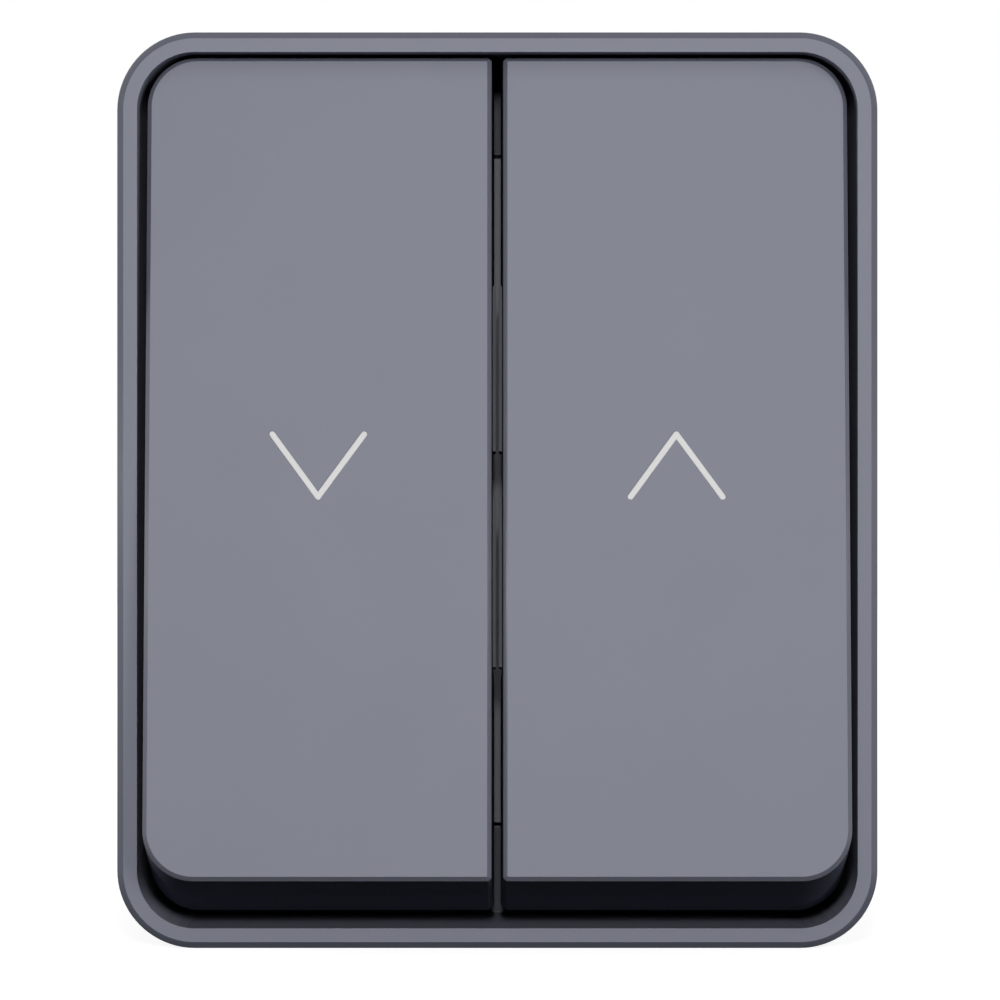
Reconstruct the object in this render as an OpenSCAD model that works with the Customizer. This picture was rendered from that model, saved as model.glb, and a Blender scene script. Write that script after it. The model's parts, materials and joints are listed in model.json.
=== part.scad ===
// Surface-mounted splash-proof roller shutter switch with two tall rockers.
// X runs to the right, Y runs into the wall and Z is up. The wall plane is y = 0,
// and the origin is the centre of the box's back face.

/* [Front frame] */
// Width of the whole unit
frame_w = 71.4; // [70:0.2:80]
// Height of the whole unit
frame_h = 86; // [84:0.5:96]
// Plan radius of the outer corners
frame_corner_r = 7.3; // [6.5:0.1:9]
// Thickness of the frame's side walls
frame_wall = 1.9; // [1.6:0.1:2.4]
// Chamfer around the frame's front face
frame_chamfer = 0.6; // [0.3:0.1:1]
// Thickness of the ring that floors the recess
floor_ring_t = 2; // [1.6:0.2:3]
// Length of the skirt behind the floor ring
frame_skirt = 4; // [3:0.5:6]
// Width of the sealing rim between the skirt and the screw bosses
rim_w = 2; // [1.6:0.1:2.6]
// Seam between the frame and the box, seen from the side
parting_seam = 0.5; // [0.3:0.1:1]

/* [Rockers] */
// Gap between the two rockers at their front edges
rocker_gap = 1.1; // [0.9:0.1:1.6]
// Gap between a rocker and the frame's side wall
side_gap = 0.85; // [0.7:0.05:1.2]
// Gap left between a pressed end and the frame's wall
end_gap = 0.31; // [0.25:0.01:0.6]
// Tilt of each rocker either side of its middle position, in degrees
rocker_tilt = 6.75; // [5:0.25:7.5]
// Depth of the pivot axis behind the frame's front face
pivot_depth = 17.5; // [17:0.5:20]
// Distance of the rockers' front edge ahead of the pivot axis
edge_ahead = 19.2; // [18:0.1:20]
// Chamfer around the rockers' faces
rocker_chamfer = 0.4; // [0.2:0.1:0.6]
// Depth of the rockers' skirts behind their front edge
skirt_depth = 16.3; // [15:0.1:16.6]
// Draft of the rockers' side walls, in degrees
side_draft = 0.8; // [0.4:0.1:1]
// Plan radius of the rockers' outer corners
rocker_corner_r = 4.75; // [4:0.05:5.5]
// Plan chamfer on the rockers' inner corners
inner_corner_c = 0.3; // [0.2:0.1:0.6]
// Thickness of the rockers' face plate
face_t = 2.2; // [1.8:0.1:2.6]
// Thickness of the rockers' skirts
rocker_wall = 1.8; // [1.4:0.1:2.2]

/* [Arrows] */
// Width of an arrow between its stroke ends
arrow_w = 8.6; // [6:0.2:12]
// Height of an arrow from its tip to its stroke ends
arrow_h = 5.9; // [4:0.1:8]
// Width of the arrow's stroke
arrow_stroke = 0.56; // [0.4:0.02:1]
// Depth of the moulded inlay
arrow_depth = 0.5; // [0.3:0.1:0.8]

/* [Carrier plate] */
// Height of the pivot axis ahead of the carrier plate's face
pivot_height = 3.5; // [3.3:0.1:5]
// Seam between the carrier plate's platform and the floor ring
platform_seam = 0.4; // [0.3:0.05:0.6]
// Land of the floor ring between a frame screw's seat and the platform's window
seat_land = 0.4; // [0.3:0.05:0.8]
// Thickness of the carrier plate's clamping flange
flange_t = 2; // [1.6:0.2:3]
// Width of the clamping flange under the floor ring
flange_lip = 2; // [1.5:0.1:2.2]
// Clearance between the clamping flange and the sealing rim
flange_gap = 0.5; // [0.3:0.1:0.8]
// Radius of the rockers' moulded trunnions
trunnion_r = 2; // [1.6:0.1:2.2]
// Wall of the bearing eyes around the trunnions
eye_wall = 1; // [0.9:0.1:1.2]
// Thickness of the bearing brackets and of the ears between them
bracket_t = 2.5; // [2:0.1:2.8]
// Distance of an ear's centre from the rocker's side edge
ear_side = 8.7; // [8.4:0.1:9.2]
// Radial running clearance of the trunnions
trunnion_fit = 0.05; // [0.02:0.01:0.1]

/* [Actuators] */
// Distance of the actuator plate's front face ahead of the pivot axis
actuator_ahead = 11.6; // [11:0.1:12.5]
// Thickness of the actuator plate
actuator_t = 2.2; // [1.8:0.1:2.6]
// Height of the actuator plate
actuator_h = 36.4; // [34:0.2:40]
// Height of the notch in the actuator's inner edge
notch_h = 4.7; // [3:0.1:6]
// Depth of the notch in the actuator's inner edge
notch_depth = 0.6; // [0.3:0.1:0.8]
// Gap between the two actuators' inner edges
actuator_gap = 0.3; // [0.2:0.05:0.9]
// Outer radius of the plunger tube
tube_r = 2.8; // [2.7:0.1:3]
// Length of the plunger tube behind the pivot axis
tube_behind = 9.5; // [9:0.1:10]
// Radius of the plunger's head
plunger_r = 1.8; // [1.6:0.05:1.9]
// Radial running clearance of the plunger
plunger_fit = 0.08; // [0.04:0.01:0.1]
// Reach of the plunger's tip behind the pivot axis
plunger_reach = 12; // [11.8:0.1:12.4]
// Diameter of the plunger spring's wire
spring_wire = 0.4; // [0.3:0.05:0.5]
// Number of turns of the plunger spring
spring_turns = 7; // [5:1:9]

/* [Contact levers] */
// Turn of a contact lever for each degree of its rocker
lever_ratio = 0.9; // [0.8:0.05:1]
// Clearance between the plunger's tip and the level lever
lever_clearance = 0.1; // [0.1:0.05:0.2]
// Width of a contact lever
lever_w = 6; // [5:0.2:7]
// Thickness of a contact lever
lever_t = 1; // [0.8:0.1:1.2]
// Radius of the lever's pivot roll
roll_r = 1.2; // [1:0.1:1.5]
// Radial clearance of the pivot roll in its cradle
roll_fit = 0.05; // [0.02:0.01:0.1]
// Radius of the contact points
contact_r = 1.5; // [1.2:0.1:1.8]
// Height of the contact points
contact_h = 0.7; // [0.5:0.1:0.9]
// Gap left between closed contact points
contact_gap = 0.08; // [0.05:0.01:0.15]
// Thickness of the conductor strips
strip_t = 0.8; // [0.6:0.1:1]
// Width of the conductor strips
strip_w = 3; // [2.4:0.2:3.4]

/* [Mechanism housing] */
// Depth of the mechanism housing
housing_depth = 22; // [21:0.5:24]
// Wall of the mechanism housing
housing_wall = 1.5; // [1.2:0.1:1.8]
// Floor of the mechanism housing
housing_floor = 2; // [1.6:0.1:2.4]
// Clearance of the housing and its ears in the carrier plate's tray
tray_gap = 0.2; // [0.1:0.05:0.4]
// Land between a mechanism screw's boss and the platform's end
mech_land = 0.65; // [0.5:0.05:0.8]
// Distance of the outer terminals from the housing's side wall, inside
terminal_side = 9.9; // [9.4:0.1:10.8]
// Gap between the contact strips' legs and the terminals' tongues
terminal_gap = 1.5; // [1:0.1:2]
// Side of a terminal clamp's cage
cage_side = 7; // [6.5:0.1:7.5]
// Wall of a terminal clamp's cage
cage_wall = 1; // [0.8:0.1:1.1]
// Height of a terminal clamp's cage
cage_h = 6; // [5:0.2:6.4]
// Radius of the terminal screws' shank
terminal_screw_r = 1.5; // [1.25:0.05:1.75]

/* [Back box] */
// Depth of the whole unit without the raised rocker ends
unit_depth = 57; // [56:0.5:62]
// Thickness of the box's side walls
box_wall = 2.2; // [2:0.1:2.6]
// Thickness of the box's back wall
box_floor = 2; // [1.8:0.1:3]
// Thickness of the sealing ring
gasket_t = 1.2; // [0.8:0.1:1.6]
// Clearance between the box's spigot and the frame's skirt
spigot_fit = 0.3; // [0.2:0.05:0.4]
// Distance of the wall holes from the box's sides
wall_hole_side = 17.7; // [16.7:0.5:21.7]
// Distance of the wall holes from the box's ends
wall_hole_end = 10; // [9:0.2:11]
// Radius of the wall holes
wall_hole_r = 2.25; // [1.75:0.05:2.5]
// Land between a cable entry hole and the box's front edge
entry_land = 3.75; // [3.6:0.05:6]
// Land between a cable entry hole and the wall
entry_foot = 5.25; // [5:0.25:7]
// Width of the cable grommet's inner flange
grommet_lip = 1.6; // [1.2:0.1:1.8]
// Thickness of the cable grommet's inner flange
grommet_lip_t = 1.4; // [1:0.1:1.8]
// Distance of the frame screws from the recess's side wall
frame_screw_side = 9.8; // [8.8:0.1:10.2]
// Radius of the screw bosses
boss_r = 2.7; // [2.4:0.1:2.8]
// Radius of the frame screws' shank
frame_screw_r = 1.2; // [1:0.05:1.3]
// Length of the frame screws under the head
frame_screw_len = 12; // [9:1:16]

/* [Hidden] */

$fn = 48;
eps = 0.01;
cut = 1;

// Colours
frame_grey = "#7f828f";
rocker_grey = "#83858f";
dark_grey = "#3c3e45";
arrow_white = "#d7d7d5";
rubber_black = "#26272a";
housing_black = "#2c2d31";
brass = "#b8964c";
silver = "#c9c9c6";
steel = "#9a9da1";
plunger_white = "#e8e6df";

// Depths are counted from the frame's front face, and y(0) is that face.
function y(depth) = depth - unit_depth;

// Front frame
opening_w = frame_w - 2 * frame_wall;
opening_h = frame_h - 2 * frame_wall;
opening_r = frame_corner_r - frame_wall;
recess_depth = pivot_depth + pivot_height;
ring_back = recess_depth + floor_ring_t;
skirt_back = ring_back + frame_skirt;
spigot_w = opening_w - 2 * spigot_fit;
spigot_h = opening_h - 2 * spigot_fit;
spigot_r = opening_r - spigot_fit;
rim_in_w = spigot_w - 2 * rim_w;
rim_in_h = spigot_h - 2 * rim_w;

// Screws that hold the frame on the box
screw_head_r = 2.6;
screw_head_h = 1.6;
screw_seat = 0.8;
seat_r = screw_head_r + 0.15;
boss_gap = 0.2;
frame_screw_x = opening_w / 2 - frame_screw_side;
frame_screw_z = rim_in_h / 2 - boss_gap - boss_r;

// Window in the floor ring
window_w = rim_in_w - 2 * flange_gap - 2 * flange_lip;
window_h = 2 * (frame_screw_z - seat_r - seat_land);
window_r = 2;

// Rockers, in a frame with the pivot axis at its origin
rocker_x = rocker_gap / 2;
rocker_w = opening_w / 2 - side_gap - rocker_x;
rocker_mid = rocker_x + rocker_w / 2;
rocker_half = (opening_h / 2 - end_gap - edge_ahead * sin(rocker_tilt)) / cos(rocker_tilt);
end_flare = skirt_depth * tan(rocker_tilt);
side_flare = skirt_depth * tan(side_draft);
face_ahead = edge_ahead + rocker_chamfer;
plate_back = face_ahead - face_t;
skirt_ahead = edge_ahead - skirt_depth;
rib_t = 1.2;
rib_drop = 5;
rib_z = (rocker_half + actuator_h / 2) / 2 - rocker_wall;
post_side = 5;
peg_side = 2.6;
peg_fit = 0.15;
peg_below = 1.2;
post_dx = rocker_w / 2 - 5.7;
post_dz = actuator_h / 2 - post_side + 0.8;
window_play = 0.3;

// Actuators
actuator_in = actuator_gap / 2;
actuator_out = rocker_mid * 2 - rocker_wall - rocker_x - 1.2;
actuator_back = actuator_ahead - actuator_t;
eye_r = trunnion_r + eye_wall;
ear_gap = 0.25;
ear_pitch = rocker_w - 2 * ear_side;
trunnion_len = bracket_t - 0.2 + ear_gap;
bracket_r = trunnion_r + eye_wall + 1;
snap_w = 1.5 * trunnion_r;
bore_r = plunger_r + plunger_fit;
bore_ahead = 3;
plunger_head_l = 6;
plunger_stem_r = plunger_r - spring_wire - 0.35;
plunger_stem_l = 3;
spring_r = plunger_r - spring_wire / 2 - 0.05;
spring_sides = 6;
spring_steps = 14;

// Slots in the carrier plate for the plunger tubes
slot_side = 0.6;
slot_sweep = (pivot_height + floor_ring_t) * sin(rocker_tilt) + tube_r / cos(rocker_tilt);
slot_x = tube_r + slot_side;
slot_z = slot_sweep + slot_side;
collar_t = 1;
collar_h = 1.2;

// Contact levers, in a frame with the roll's axis at its origin
lever_tilt = rocker_tilt * lever_ratio;
lever_face = lever_t + 0.4;
lever_back = lever_face - lever_t;
lever_depth = pivot_depth + plunger_reach + lever_clearance + lever_face;
cradle_top = 0.3;
cradle_z = 2;
cradle_foot = roll_r + 1.2;
guide_t = 2;
guide_gap = 0.4;
guide_z = 2;
middle_wall = 1.5;
rivet_r = 0.8;
rivet_fit = 0.02;
rivet_head_r = 1.2;
rivet_head_h = 0.3;
fixed_top = contact_h - lever_back + contact_gap;
arm_top = fixed_top + contact_h;

// Carrier plate and mechanism housing
platform_w = window_w - 2 * platform_seam;
platform_h = window_h - 2 * platform_seam;
tray_w = platform_w - 2 * flange_lip;
flange_w = window_w + 2 * flange_lip;
flange_h = window_h + 2 * flange_lip;
flange_back = ring_back + flange_t;
housing_back = ring_back + housing_depth;
housing_inner = housing_back - housing_floor;
ear_w = 5;
ear_beyond = 2.1;
mech_screw_r = 1.1;
mech_screw_l = 5.5;
mech_head_r = 2.1;
mech_head_h = 1.4;
mech_head_gap = 0.2;
mech_boss_r = 2.4;
mech_boss_h = 2.8;
mech_hole_deep = 4;
mech_screw_x = 14;
mech_screw_z = platform_h / 2 - mech_land - mech_boss_r;
housing_w = tray_w - 2 * tray_gap;
housing_h = 2 * (mech_screw_z - mech_head_r - mech_head_gap);
housing_in_x = housing_w / 2 - housing_wall;
housing_in_z = housing_h / 2 - housing_wall;
tray_h = 2 * (mech_screw_z + ear_beyond + tray_gap);
screw_fit = 0.05;
cross_w = 0.6;

// Contact arms, from the terminals' end of the housing inwards
terminal_room = 8.5;
terminal_leg_z = terminal_room - housing_in_z;
arm_over = 2.3;
arm_out = housing_in_z - terminal_room - terminal_gap;
contact_arm = arm_out - arm_over;
arm_in = contact_arm - arm_over;
lever_len = 2 * (contact_arm + contact_r);
stop_x = 2;
stop_t = 2;
stop_depth = lever_depth + fixed_top + stop_t / 2 + contact_arm * sin(lever_tilt);

// Conductor strips
link_lift = 3;
run_back = housing_inner;
run_front = run_back - strip_t;
link_back = run_back - link_lift;
link_front = link_back - strip_t;
arm_leg_z = arm_out * cos(lever_tilt) - arm_top * sin(lever_tilt) - 1.1 * strip_t;
arm_leg_top = lever_depth + (arm_top + strip_t / 2) / cos(lever_tilt)
    + (arm_leg_z + strip_t / 2) * tan(lever_tilt);
link_gap = 0.3;
link_up_x = rocker_mid - stop_x - 1.5 - strip_w / 2;
outer_run_x = housing_in_x - 0.3 - strip_w / 2;
terminal_run_w = 2;

// Terminals
terminal_pitch = housing_in_x - terminal_side;
feed_down_x = terminal_pitch / 2;
cage_z = -(housing_in_z - 0.5 - cage_h / 2);
cage_front = housing_inner - cage_side - 2.5;
cage_back = cage_front + cage_side;
tongue_w = cage_side - 2 * cage_wall - 1;
terminal_head_r = 2.6;
terminal_head_h = 1.8;
terminal_access_r = terminal_head_r + 0.3;
wire_hole_r = 2;

// Back box
spigot_front = ring_back + gasket_t;
box_front = skirt_back + parting_seam;
box_in_w = frame_w - 2 * box_wall;
box_in_h = frame_h - 2 * box_wall;
box_in_r = frame_corner_r - box_wall;
box_inner = unit_depth - box_floor;
wall_hole_x = frame_w / 2 - wall_hole_side;
wall_hole_z = frame_h / 2 - wall_hole_end;
rest_z0 = 14;
rest_z1 = 22;
rest_lap = 1.6;
entry_r = (unit_depth - entry_foot - box_front - entry_land) / 2;
entry_depth = box_front + entry_land + entry_r;
grommet_fit = 0.1;

// A flat shape in the XZ plane, given thickness from y0 back to y1.
module plate(y0, y1) {
    translate([0, y1, 0]) rotate([90, 0, 0]) linear_extrude(y1 - y0) children();
}

// The same, between two depths behind the frame's front face.
module slab(d0, d1) {
    plate(y(d0), y(d1)) children();
}

// A box between two corners.
module block(x0, x1, y0, y1, z0, z1) {
    translate([x0, y0, z0]) cube([x1 - x0, y1 - y0, z1 - z0]);
}

// A round bar along Y.
module bar_y(r, y0, y1) {
    translate([0, y0, 0]) rotate([-90, 0, 0]) cylinder(r = r, h = y1 - y0);
}

// A round bar along X.
module bar_x(r, x0, x1) {
    translate([x0, 0, 0]) rotate([0, 90, 0]) cylinder(r = r, h = x1 - x0);
}

// A rectangle with round corners.
module rounded(w, h, r) {
    square([w - 2 * r, h], center = true);
    square([w, h - 2 * r], center = true);
    for (sx = [-1, 1], sz = [-1, 1])
        translate([sx * (w / 2 - r), sz * (h / 2 - r)]) circle(r);
}

// Copies of a piece at the four signs of X and Z.
module four(x, z) {
    for (sx = [-1, 1], sz = [-1, 1]) translate([sx * x, 0, sz * z]) children();
}

// The left side is the right side mirrored.
module on_side(side) {
    mirror([side < 0 ? 1 : 0, 0, 0]) children();
}

// Rockers and actuators turn about this axis.
module rocker_frame(tilt = -rocker_tilt) {
    translate([0, y(pivot_depth), 0]) rotate([tilt, 0, 0]) children();
}

// Contact levers turn about this axis.
module lever_frame(tilt = lever_tilt) {
    translate([rocker_mid, y(lever_depth), 0]) rotate([tilt, 0, 0]) children();
}

// A cross slot for a screwdriver, cut into a head whose face is at y0.
module cross_slot(r, y0, deep) {
    for (a = [0, 90]) translate([0, y0, 0]) rotate([0, a, 0])
        block(-r, r, -cut, deep, -cross_w / 2, cross_w / 2);
}

module back_box() {
    color(frame_grey) difference() {
        union() {
            difference() {
                slab(box_front, unit_depth) rounded(frame_w, frame_h, frame_corner_r);
                slab(box_front - cut, box_inner) rounded(box_in_w, box_in_h, box_in_r);
            }
            difference() {
                slab(spigot_front, box_front + box_floor)
                    rounded(spigot_w, spigot_h, spigot_r);
                slab(spigot_front - cut, box_front + box_floor + cut)
                    rounded(rim_in_w, rim_in_h, spigot_r - rim_w);
            }
            four(frame_screw_x, frame_screw_z) {
                slab(ring_back, box_inner + eps) circle(boss_r);
            }
            for (sx = [-1, 1], sz = [-1, 1]) mirror([sx < 0 ? 1 : 0, 0, 0])
                mirror([0, 0, sz < 0 ? 1 : 0]) {
                    block(frame_screw_x - 1, frame_screw_x + 1, y(box_front), y(box_inner + eps),
                        frame_screw_z, box_in_h / 2 + eps);
                    block(flange_w / 2 - rest_lap, box_in_w / 2 + eps, y(flange_back),
                        y(box_inner + eps), rest_z0, rest_z1);
                }
        }
        four(frame_screw_x, frame_screw_z)
            slab(ring_back - cut, ring_back + frame_screw_len + cut) circle(frame_screw_r + screw_fit);
        four(wall_hole_x, wall_hole_z)
            slab(box_inner - cut, unit_depth + cut) circle(wall_hole_r);
        for (sz = [-1, 1]) mirror([0, 0, sz < 0 ? 1 : 0])
            translate([0, y(entry_depth), box_in_h / 2 - cut])
                cylinder(r = entry_r, h = box_wall + 2 * cut);
    }
}

module sealing_ring() {
    color(rubber_black) difference() {
        slab(ring_back, spigot_front) rounded(spigot_w, spigot_h, spigot_r);
        slab(ring_back - cut, spigot_front + cut) rounded(rim_in_w, rim_in_h, spigot_r - rim_w);
    }
}

// A soft entry plug, flush outside, with a thin stepped membrane to cut open.
module grommet() {
    plug_r = entry_r - grommet_fit;
    lip_r = entry_r + grommet_lip;
    ring_w = 1.8;
    membrane_t = 0.8;
    nipple_r = plug_r / 2;
    translate([0, y(entry_depth), box_in_h / 2]) rotate_extrude() polygon([
        [0, -grommet_lip_t - 1], [nipple_r, -grommet_lip_t - 1], [nipple_r, -grommet_lip_t],
        [lip_r, -grommet_lip_t], [lip_r, 0], [plug_r, 0], [plug_r, box_wall],
        [plug_r - ring_w, box_wall], [plug_r - ring_w, -grommet_lip_t + membrane_t],
        [nipple_r - membrane_t, -grommet_lip_t + membrane_t],
        [nipple_r - membrane_t, -grommet_lip_t - 1 + membrane_t],
        [0, -grommet_lip_t - 1 + membrane_t]
    ]);
}

module top_grommet() {
    color(rubber_black) grommet();
}

module bottom_grommet() {
    color(rubber_black) mirror([0, 0, 1]) grommet();
}

module front_frame() {
    color(frame_grey) difference() {
        union() {
            hull() {
                slab(0, eps) rounded(frame_w - 2 * frame_chamfer, frame_h - 2 * frame_chamfer,
                    frame_corner_r - frame_chamfer);
                slab(frame_chamfer - eps, frame_chamfer) rounded(frame_w, frame_h, frame_corner_r);
            }
            slab(frame_chamfer - eps, skirt_back) rounded(frame_w, frame_h, frame_corner_r);
        }
        slab(-cut, recess_depth) rounded(opening_w, opening_h, opening_r);
        slab(ring_back, skirt_back + cut) rounded(opening_w, opening_h, opening_r);
        slab(recess_depth - cut, ring_back + cut) rounded(window_w, window_h, window_r);
        four(frame_screw_x, frame_screw_z) {
            slab(recess_depth - cut, ring_back + cut) circle(frame_screw_r + 0.3);
            slab(recess_depth - cut, recess_depth + screw_seat) circle(seat_r);
        }
    }
}

module frame_screws() {
    head_front = recess_depth + screw_seat - screw_head_h;
    color(steel) four(frame_screw_x, frame_screw_z) difference() {
        union() {
            slab(head_front, recess_depth + screw_seat) circle(screw_head_r);
            slab(recess_depth + screw_seat - eps, recess_depth + screw_seat + frame_screw_len)
                circle(frame_screw_r);
        }
        cross_slot(screw_head_r * 0.6, y(head_front), 0.9);
    }
}

// One bearing bracket with an open snap-in eye, at its place beside an ear.
module bracket(x0) {
    difference() {
        union() {
            block(x0, x0 + bracket_t, y(pivot_depth), y(recess_depth + eps), -bracket_r, bracket_r);
            translate([0, y(pivot_depth), 0]) bar_x(bracket_r, x0, x0 + bracket_t);
        }
        translate([0, y(pivot_depth), 0]) bar_x(trunnion_r + trunnion_fit, x0 - cut, x0 + bracket_t + cut);
        block(x0 - cut, x0 + bracket_t + cut, y(pivot_depth - bracket_r - cut), y(pivot_depth),
            -snap_w / 2, snap_w / 2);
    }
}

module carrier_plate() {
    color(dark_grey) difference() {
        union() {
            slab(recess_depth, ring_back) rounded(platform_w, platform_h, window_r - platform_seam);
            difference() {
                slab(ring_back, flange_back) rounded(flange_w, flange_h, window_r);
                slab(ring_back, flange_back + cut) rounded(tray_w, tray_h, window_r);
                for (sx = [-1, 1], sz = [-1, 1]) mirror([sx < 0 ? 1 : 0, 0, 0])
                    mirror([0, 0, sz < 0 ? 1 : 0])
                        block(frame_screw_x - boss_r - 0.5, flange_w, y(ring_back), y(flange_back + cut),
                            frame_screw_z - boss_r - 0.5, flange_h);
            }
            for (side = [-1, 1]) on_side(side) {
                for (x0 = [rocker_mid - ear_pitch / 2 - bracket_t / 2 - ear_gap - bracket_t,
                        rocker_mid + ear_pitch / 2 + bracket_t / 2 + ear_gap])
                    bracket(x0);
                slab(recess_depth - collar_h, recess_depth + eps) translate([rocker_mid, 0])
                    square([2 * (slot_x + collar_t), 2 * (slot_z + collar_t)], center = true);
            }
            four(mech_screw_x, mech_screw_z)
                slab(recess_depth - mech_boss_h, recess_depth + eps) circle(mech_boss_r);
        }
        for (side = [-1, 1]) on_side(side)
            slab(recess_depth - collar_h - cut, ring_back + cut) translate([rocker_mid, 0])
                square([2 * slot_x, 2 * slot_z], center = true);
        four(mech_screw_x, mech_screw_z)
            slab(ring_back - mech_hole_deep, ring_back + cut) circle(mech_screw_r + screw_fit);
    }
}

module mechanism_screws() {
    head_back = flange_back + mech_head_h;
    color(steel) four(mech_screw_x, mech_screw_z) difference() {
        union() {
            slab(flange_back - mech_screw_l, flange_back + eps) circle(mech_screw_r);
            slab(flange_back, head_back) circle(mech_head_r);
        }
        mirror([0, 1, 0]) cross_slot(mech_head_r * 0.6, -y(head_back), mech_head_h / 2);
    }
}

module mechanism_housing() {
    color(housing_black) difference() {
        union() {
            difference() {
                slab(ring_back, housing_back) square([housing_w, housing_h], center = true);
                slab(ring_back - cut, housing_inner)
                    square([2 * housing_in_x, 2 * housing_in_z], center = true);
            }
            for (sz = [-1, 1], x = [-mech_screw_x, mech_screw_x]) mirror([0, 0, sz < 0 ? 1 : 0])
                block(x - ear_w / 2, x + ear_w / 2, y(ring_back), y(flange_back),
                    housing_h / 2 - eps, mech_screw_z + ear_beyond);
            // Wall between the two lever chambers
            block(-middle_wall / 2, middle_wall / 2, y(ring_back), y(housing_inner + eps),
                link_z() + strip_w / 2 + link_gap, housing_in_z + eps);
            // Guides beside each lever's pivot, on the side wall and on the middle wall
            for (side = [-1, 1]) on_side(side) for (x = [
                    [rocker_mid + lever_w / 2 + guide_gap, housing_in_x + eps],
                    [middle_wall / 2 - eps, rocker_mid - lever_w / 2 - guide_gap]])
                block(x[0], x[1], y(lever_depth - lever_face), y(lever_depth + cradle_foot),
                    guide_z, guide_z + guide_t);
            // Stop under the resting end of the right lever
            lever_frame() block(-stop_x, stop_x, fixed_top, fixed_top + stop_t,
                -contact_arm - contact_r, -contact_arm + contact_r);
            translate([rocker_mid, 0, 0]) block(-stop_x, stop_x, y(stop_depth), y(housing_inner + eps),
                -contact_arm - contact_r, -contact_arm + contact_r);
            // Posts that carry the raised link strip
            for (p = [[-rocker_mid, link_z()], [0, link_z()], [link_up_x, link_z() / 2]])
                translate([p[0], 0, p[1]]) block(-1, 1, y(link_back), y(housing_inner + eps), -1, 1);
        }
        for (x = [-terminal_pitch, 0, terminal_pitch]) {
            translate([x, 0, cage_z]) slab(housing_inner - cut, housing_back + cut) circle(terminal_access_r);
            translate([x, y((cage_front + cage_back) / 2 + 0.6), -housing_h / 2 - cut])
                cylinder(r = wire_hole_r, h = housing_wall + 2 * cut);
        }
        four(mech_screw_x, mech_screw_z)
            slab(ring_back - cut, flange_back + cut) circle(mech_screw_r + 2 * screw_fit);
    }
}

// The raised link strip's long run is centred on this height.
function link_z() = -(arm_leg_z + strip_t) + strip_w / 2;

// A rocker on the right-hand side, as a slice of its outline at one depth.
module rocker_slice(at, grow_x, grow_z, r, c) {
    x0 = rocker_x - grow_x;
    x1 = rocker_x + rocker_w + grow_x;
    z1 = rocker_half + grow_z;
    plate(at, at + eps) {
        for (sz = [-1, 1]) translate([x1 - r, sz * (z1 - r)]) circle(r);
        polygon([[x0, -z1 + c], [x0 + c, -z1], [x1 - r, -z1], [x1 - r, z1], [x0 + c, z1], [x0, z1 - c]]);
    }
}

module rocker_shell() {
    cavity_r = rocker_corner_r - rocker_wall;
    lost = (face_ahead - plate_back) / skirt_depth;
    difference() {
        hull() {
            rocker_slice(-face_ahead, -rocker_chamfer, -rocker_chamfer,
                rocker_corner_r - rocker_chamfer, inner_corner_c);
            rocker_slice(-edge_ahead, 0, 0, rocker_corner_r, inner_corner_c);
            rocker_slice(-skirt_ahead - eps, side_flare, end_flare, rocker_corner_r, inner_corner_c);
        }
        hull() {
            rocker_slice(-plate_back, side_flare * lost - rocker_wall, end_flare * lost - rocker_wall,
                cavity_r, inner_corner_c);
            rocker_slice(-skirt_ahead + cut, side_flare - rocker_wall, end_flare - rocker_wall,
                cavity_r, inner_corner_c);
        }
    }
}

// The arrow's two strokes, pointing up, centred on the origin.
module arrow_shape() {
    reach = sqrt(arrow_w * arrow_w / 4 + arrow_h * arrow_h);
    slope = atan2(arrow_h, arrow_w / 2);
    for (side = [-1, 1]) mirror([side < 0 ? 1 : 0, 0]) translate([0, arrow_h / 2]) rotate(-slope) {
        translate([0, -arrow_stroke / 2]) square([reach, arrow_stroke]);
        translate([reach, 0]) circle(arrow_stroke / 2, $fn = 24);
    }
    translate([0, arrow_h / 2]) circle(arrow_stroke / 2, $fn = 24);
}

module arrow(up, extra = 0) {
    translate([rocker_mid, 0, 0]) plate(-face_ahead - extra, -face_ahead + arrow_depth)
        mirror([0, up ? 0 : 1]) arrow_shape();
}

module rocker(side, up) {
    color(rocker_grey) on_side(side) rocker_frame() difference() {
        union() {
            difference() {
                rocker_shell();
                block(0, rocker_x + 2 * rocker_wall, -actuator_ahead - window_play, -skirt_ahead + cut,
                    -actuator_h / 2 - window_play, actuator_h / 2 + window_play);
            }
            for (sx = [-1, 1], sz = [-1, 1]) translate([rocker_mid + sx * post_dx, 0, sz * post_dz]) {
                block(-post_side / 2, post_side / 2, -plate_back - eps, -actuator_ahead,
                    -post_side / 2, post_side / 2);
                block(-peg_side / 2, peg_side / 2, -actuator_ahead - eps, -actuator_back + peg_below,
                    -peg_side / 2, peg_side / 2);
            }
            for (sz = [-1, 1]) block(rocker_x + rocker_wall - 0.2, rocker_x + rocker_w - rocker_wall + 0.2,
                -plate_back - eps, -plate_back + rib_drop, sz * rib_z - rib_t / 2, sz * rib_z + rib_t / 2);
        }
        arrow(up, cut);
    }
}

module left_rocker() rocker(-1, false);
module right_rocker() rocker(1, true);

module down_arrow() {
    color(arrow_white) on_side(-1) rocker_frame() arrow(false);
}

module up_arrow() {
    color(arrow_white) rocker_frame() arrow(true);
}

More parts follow.
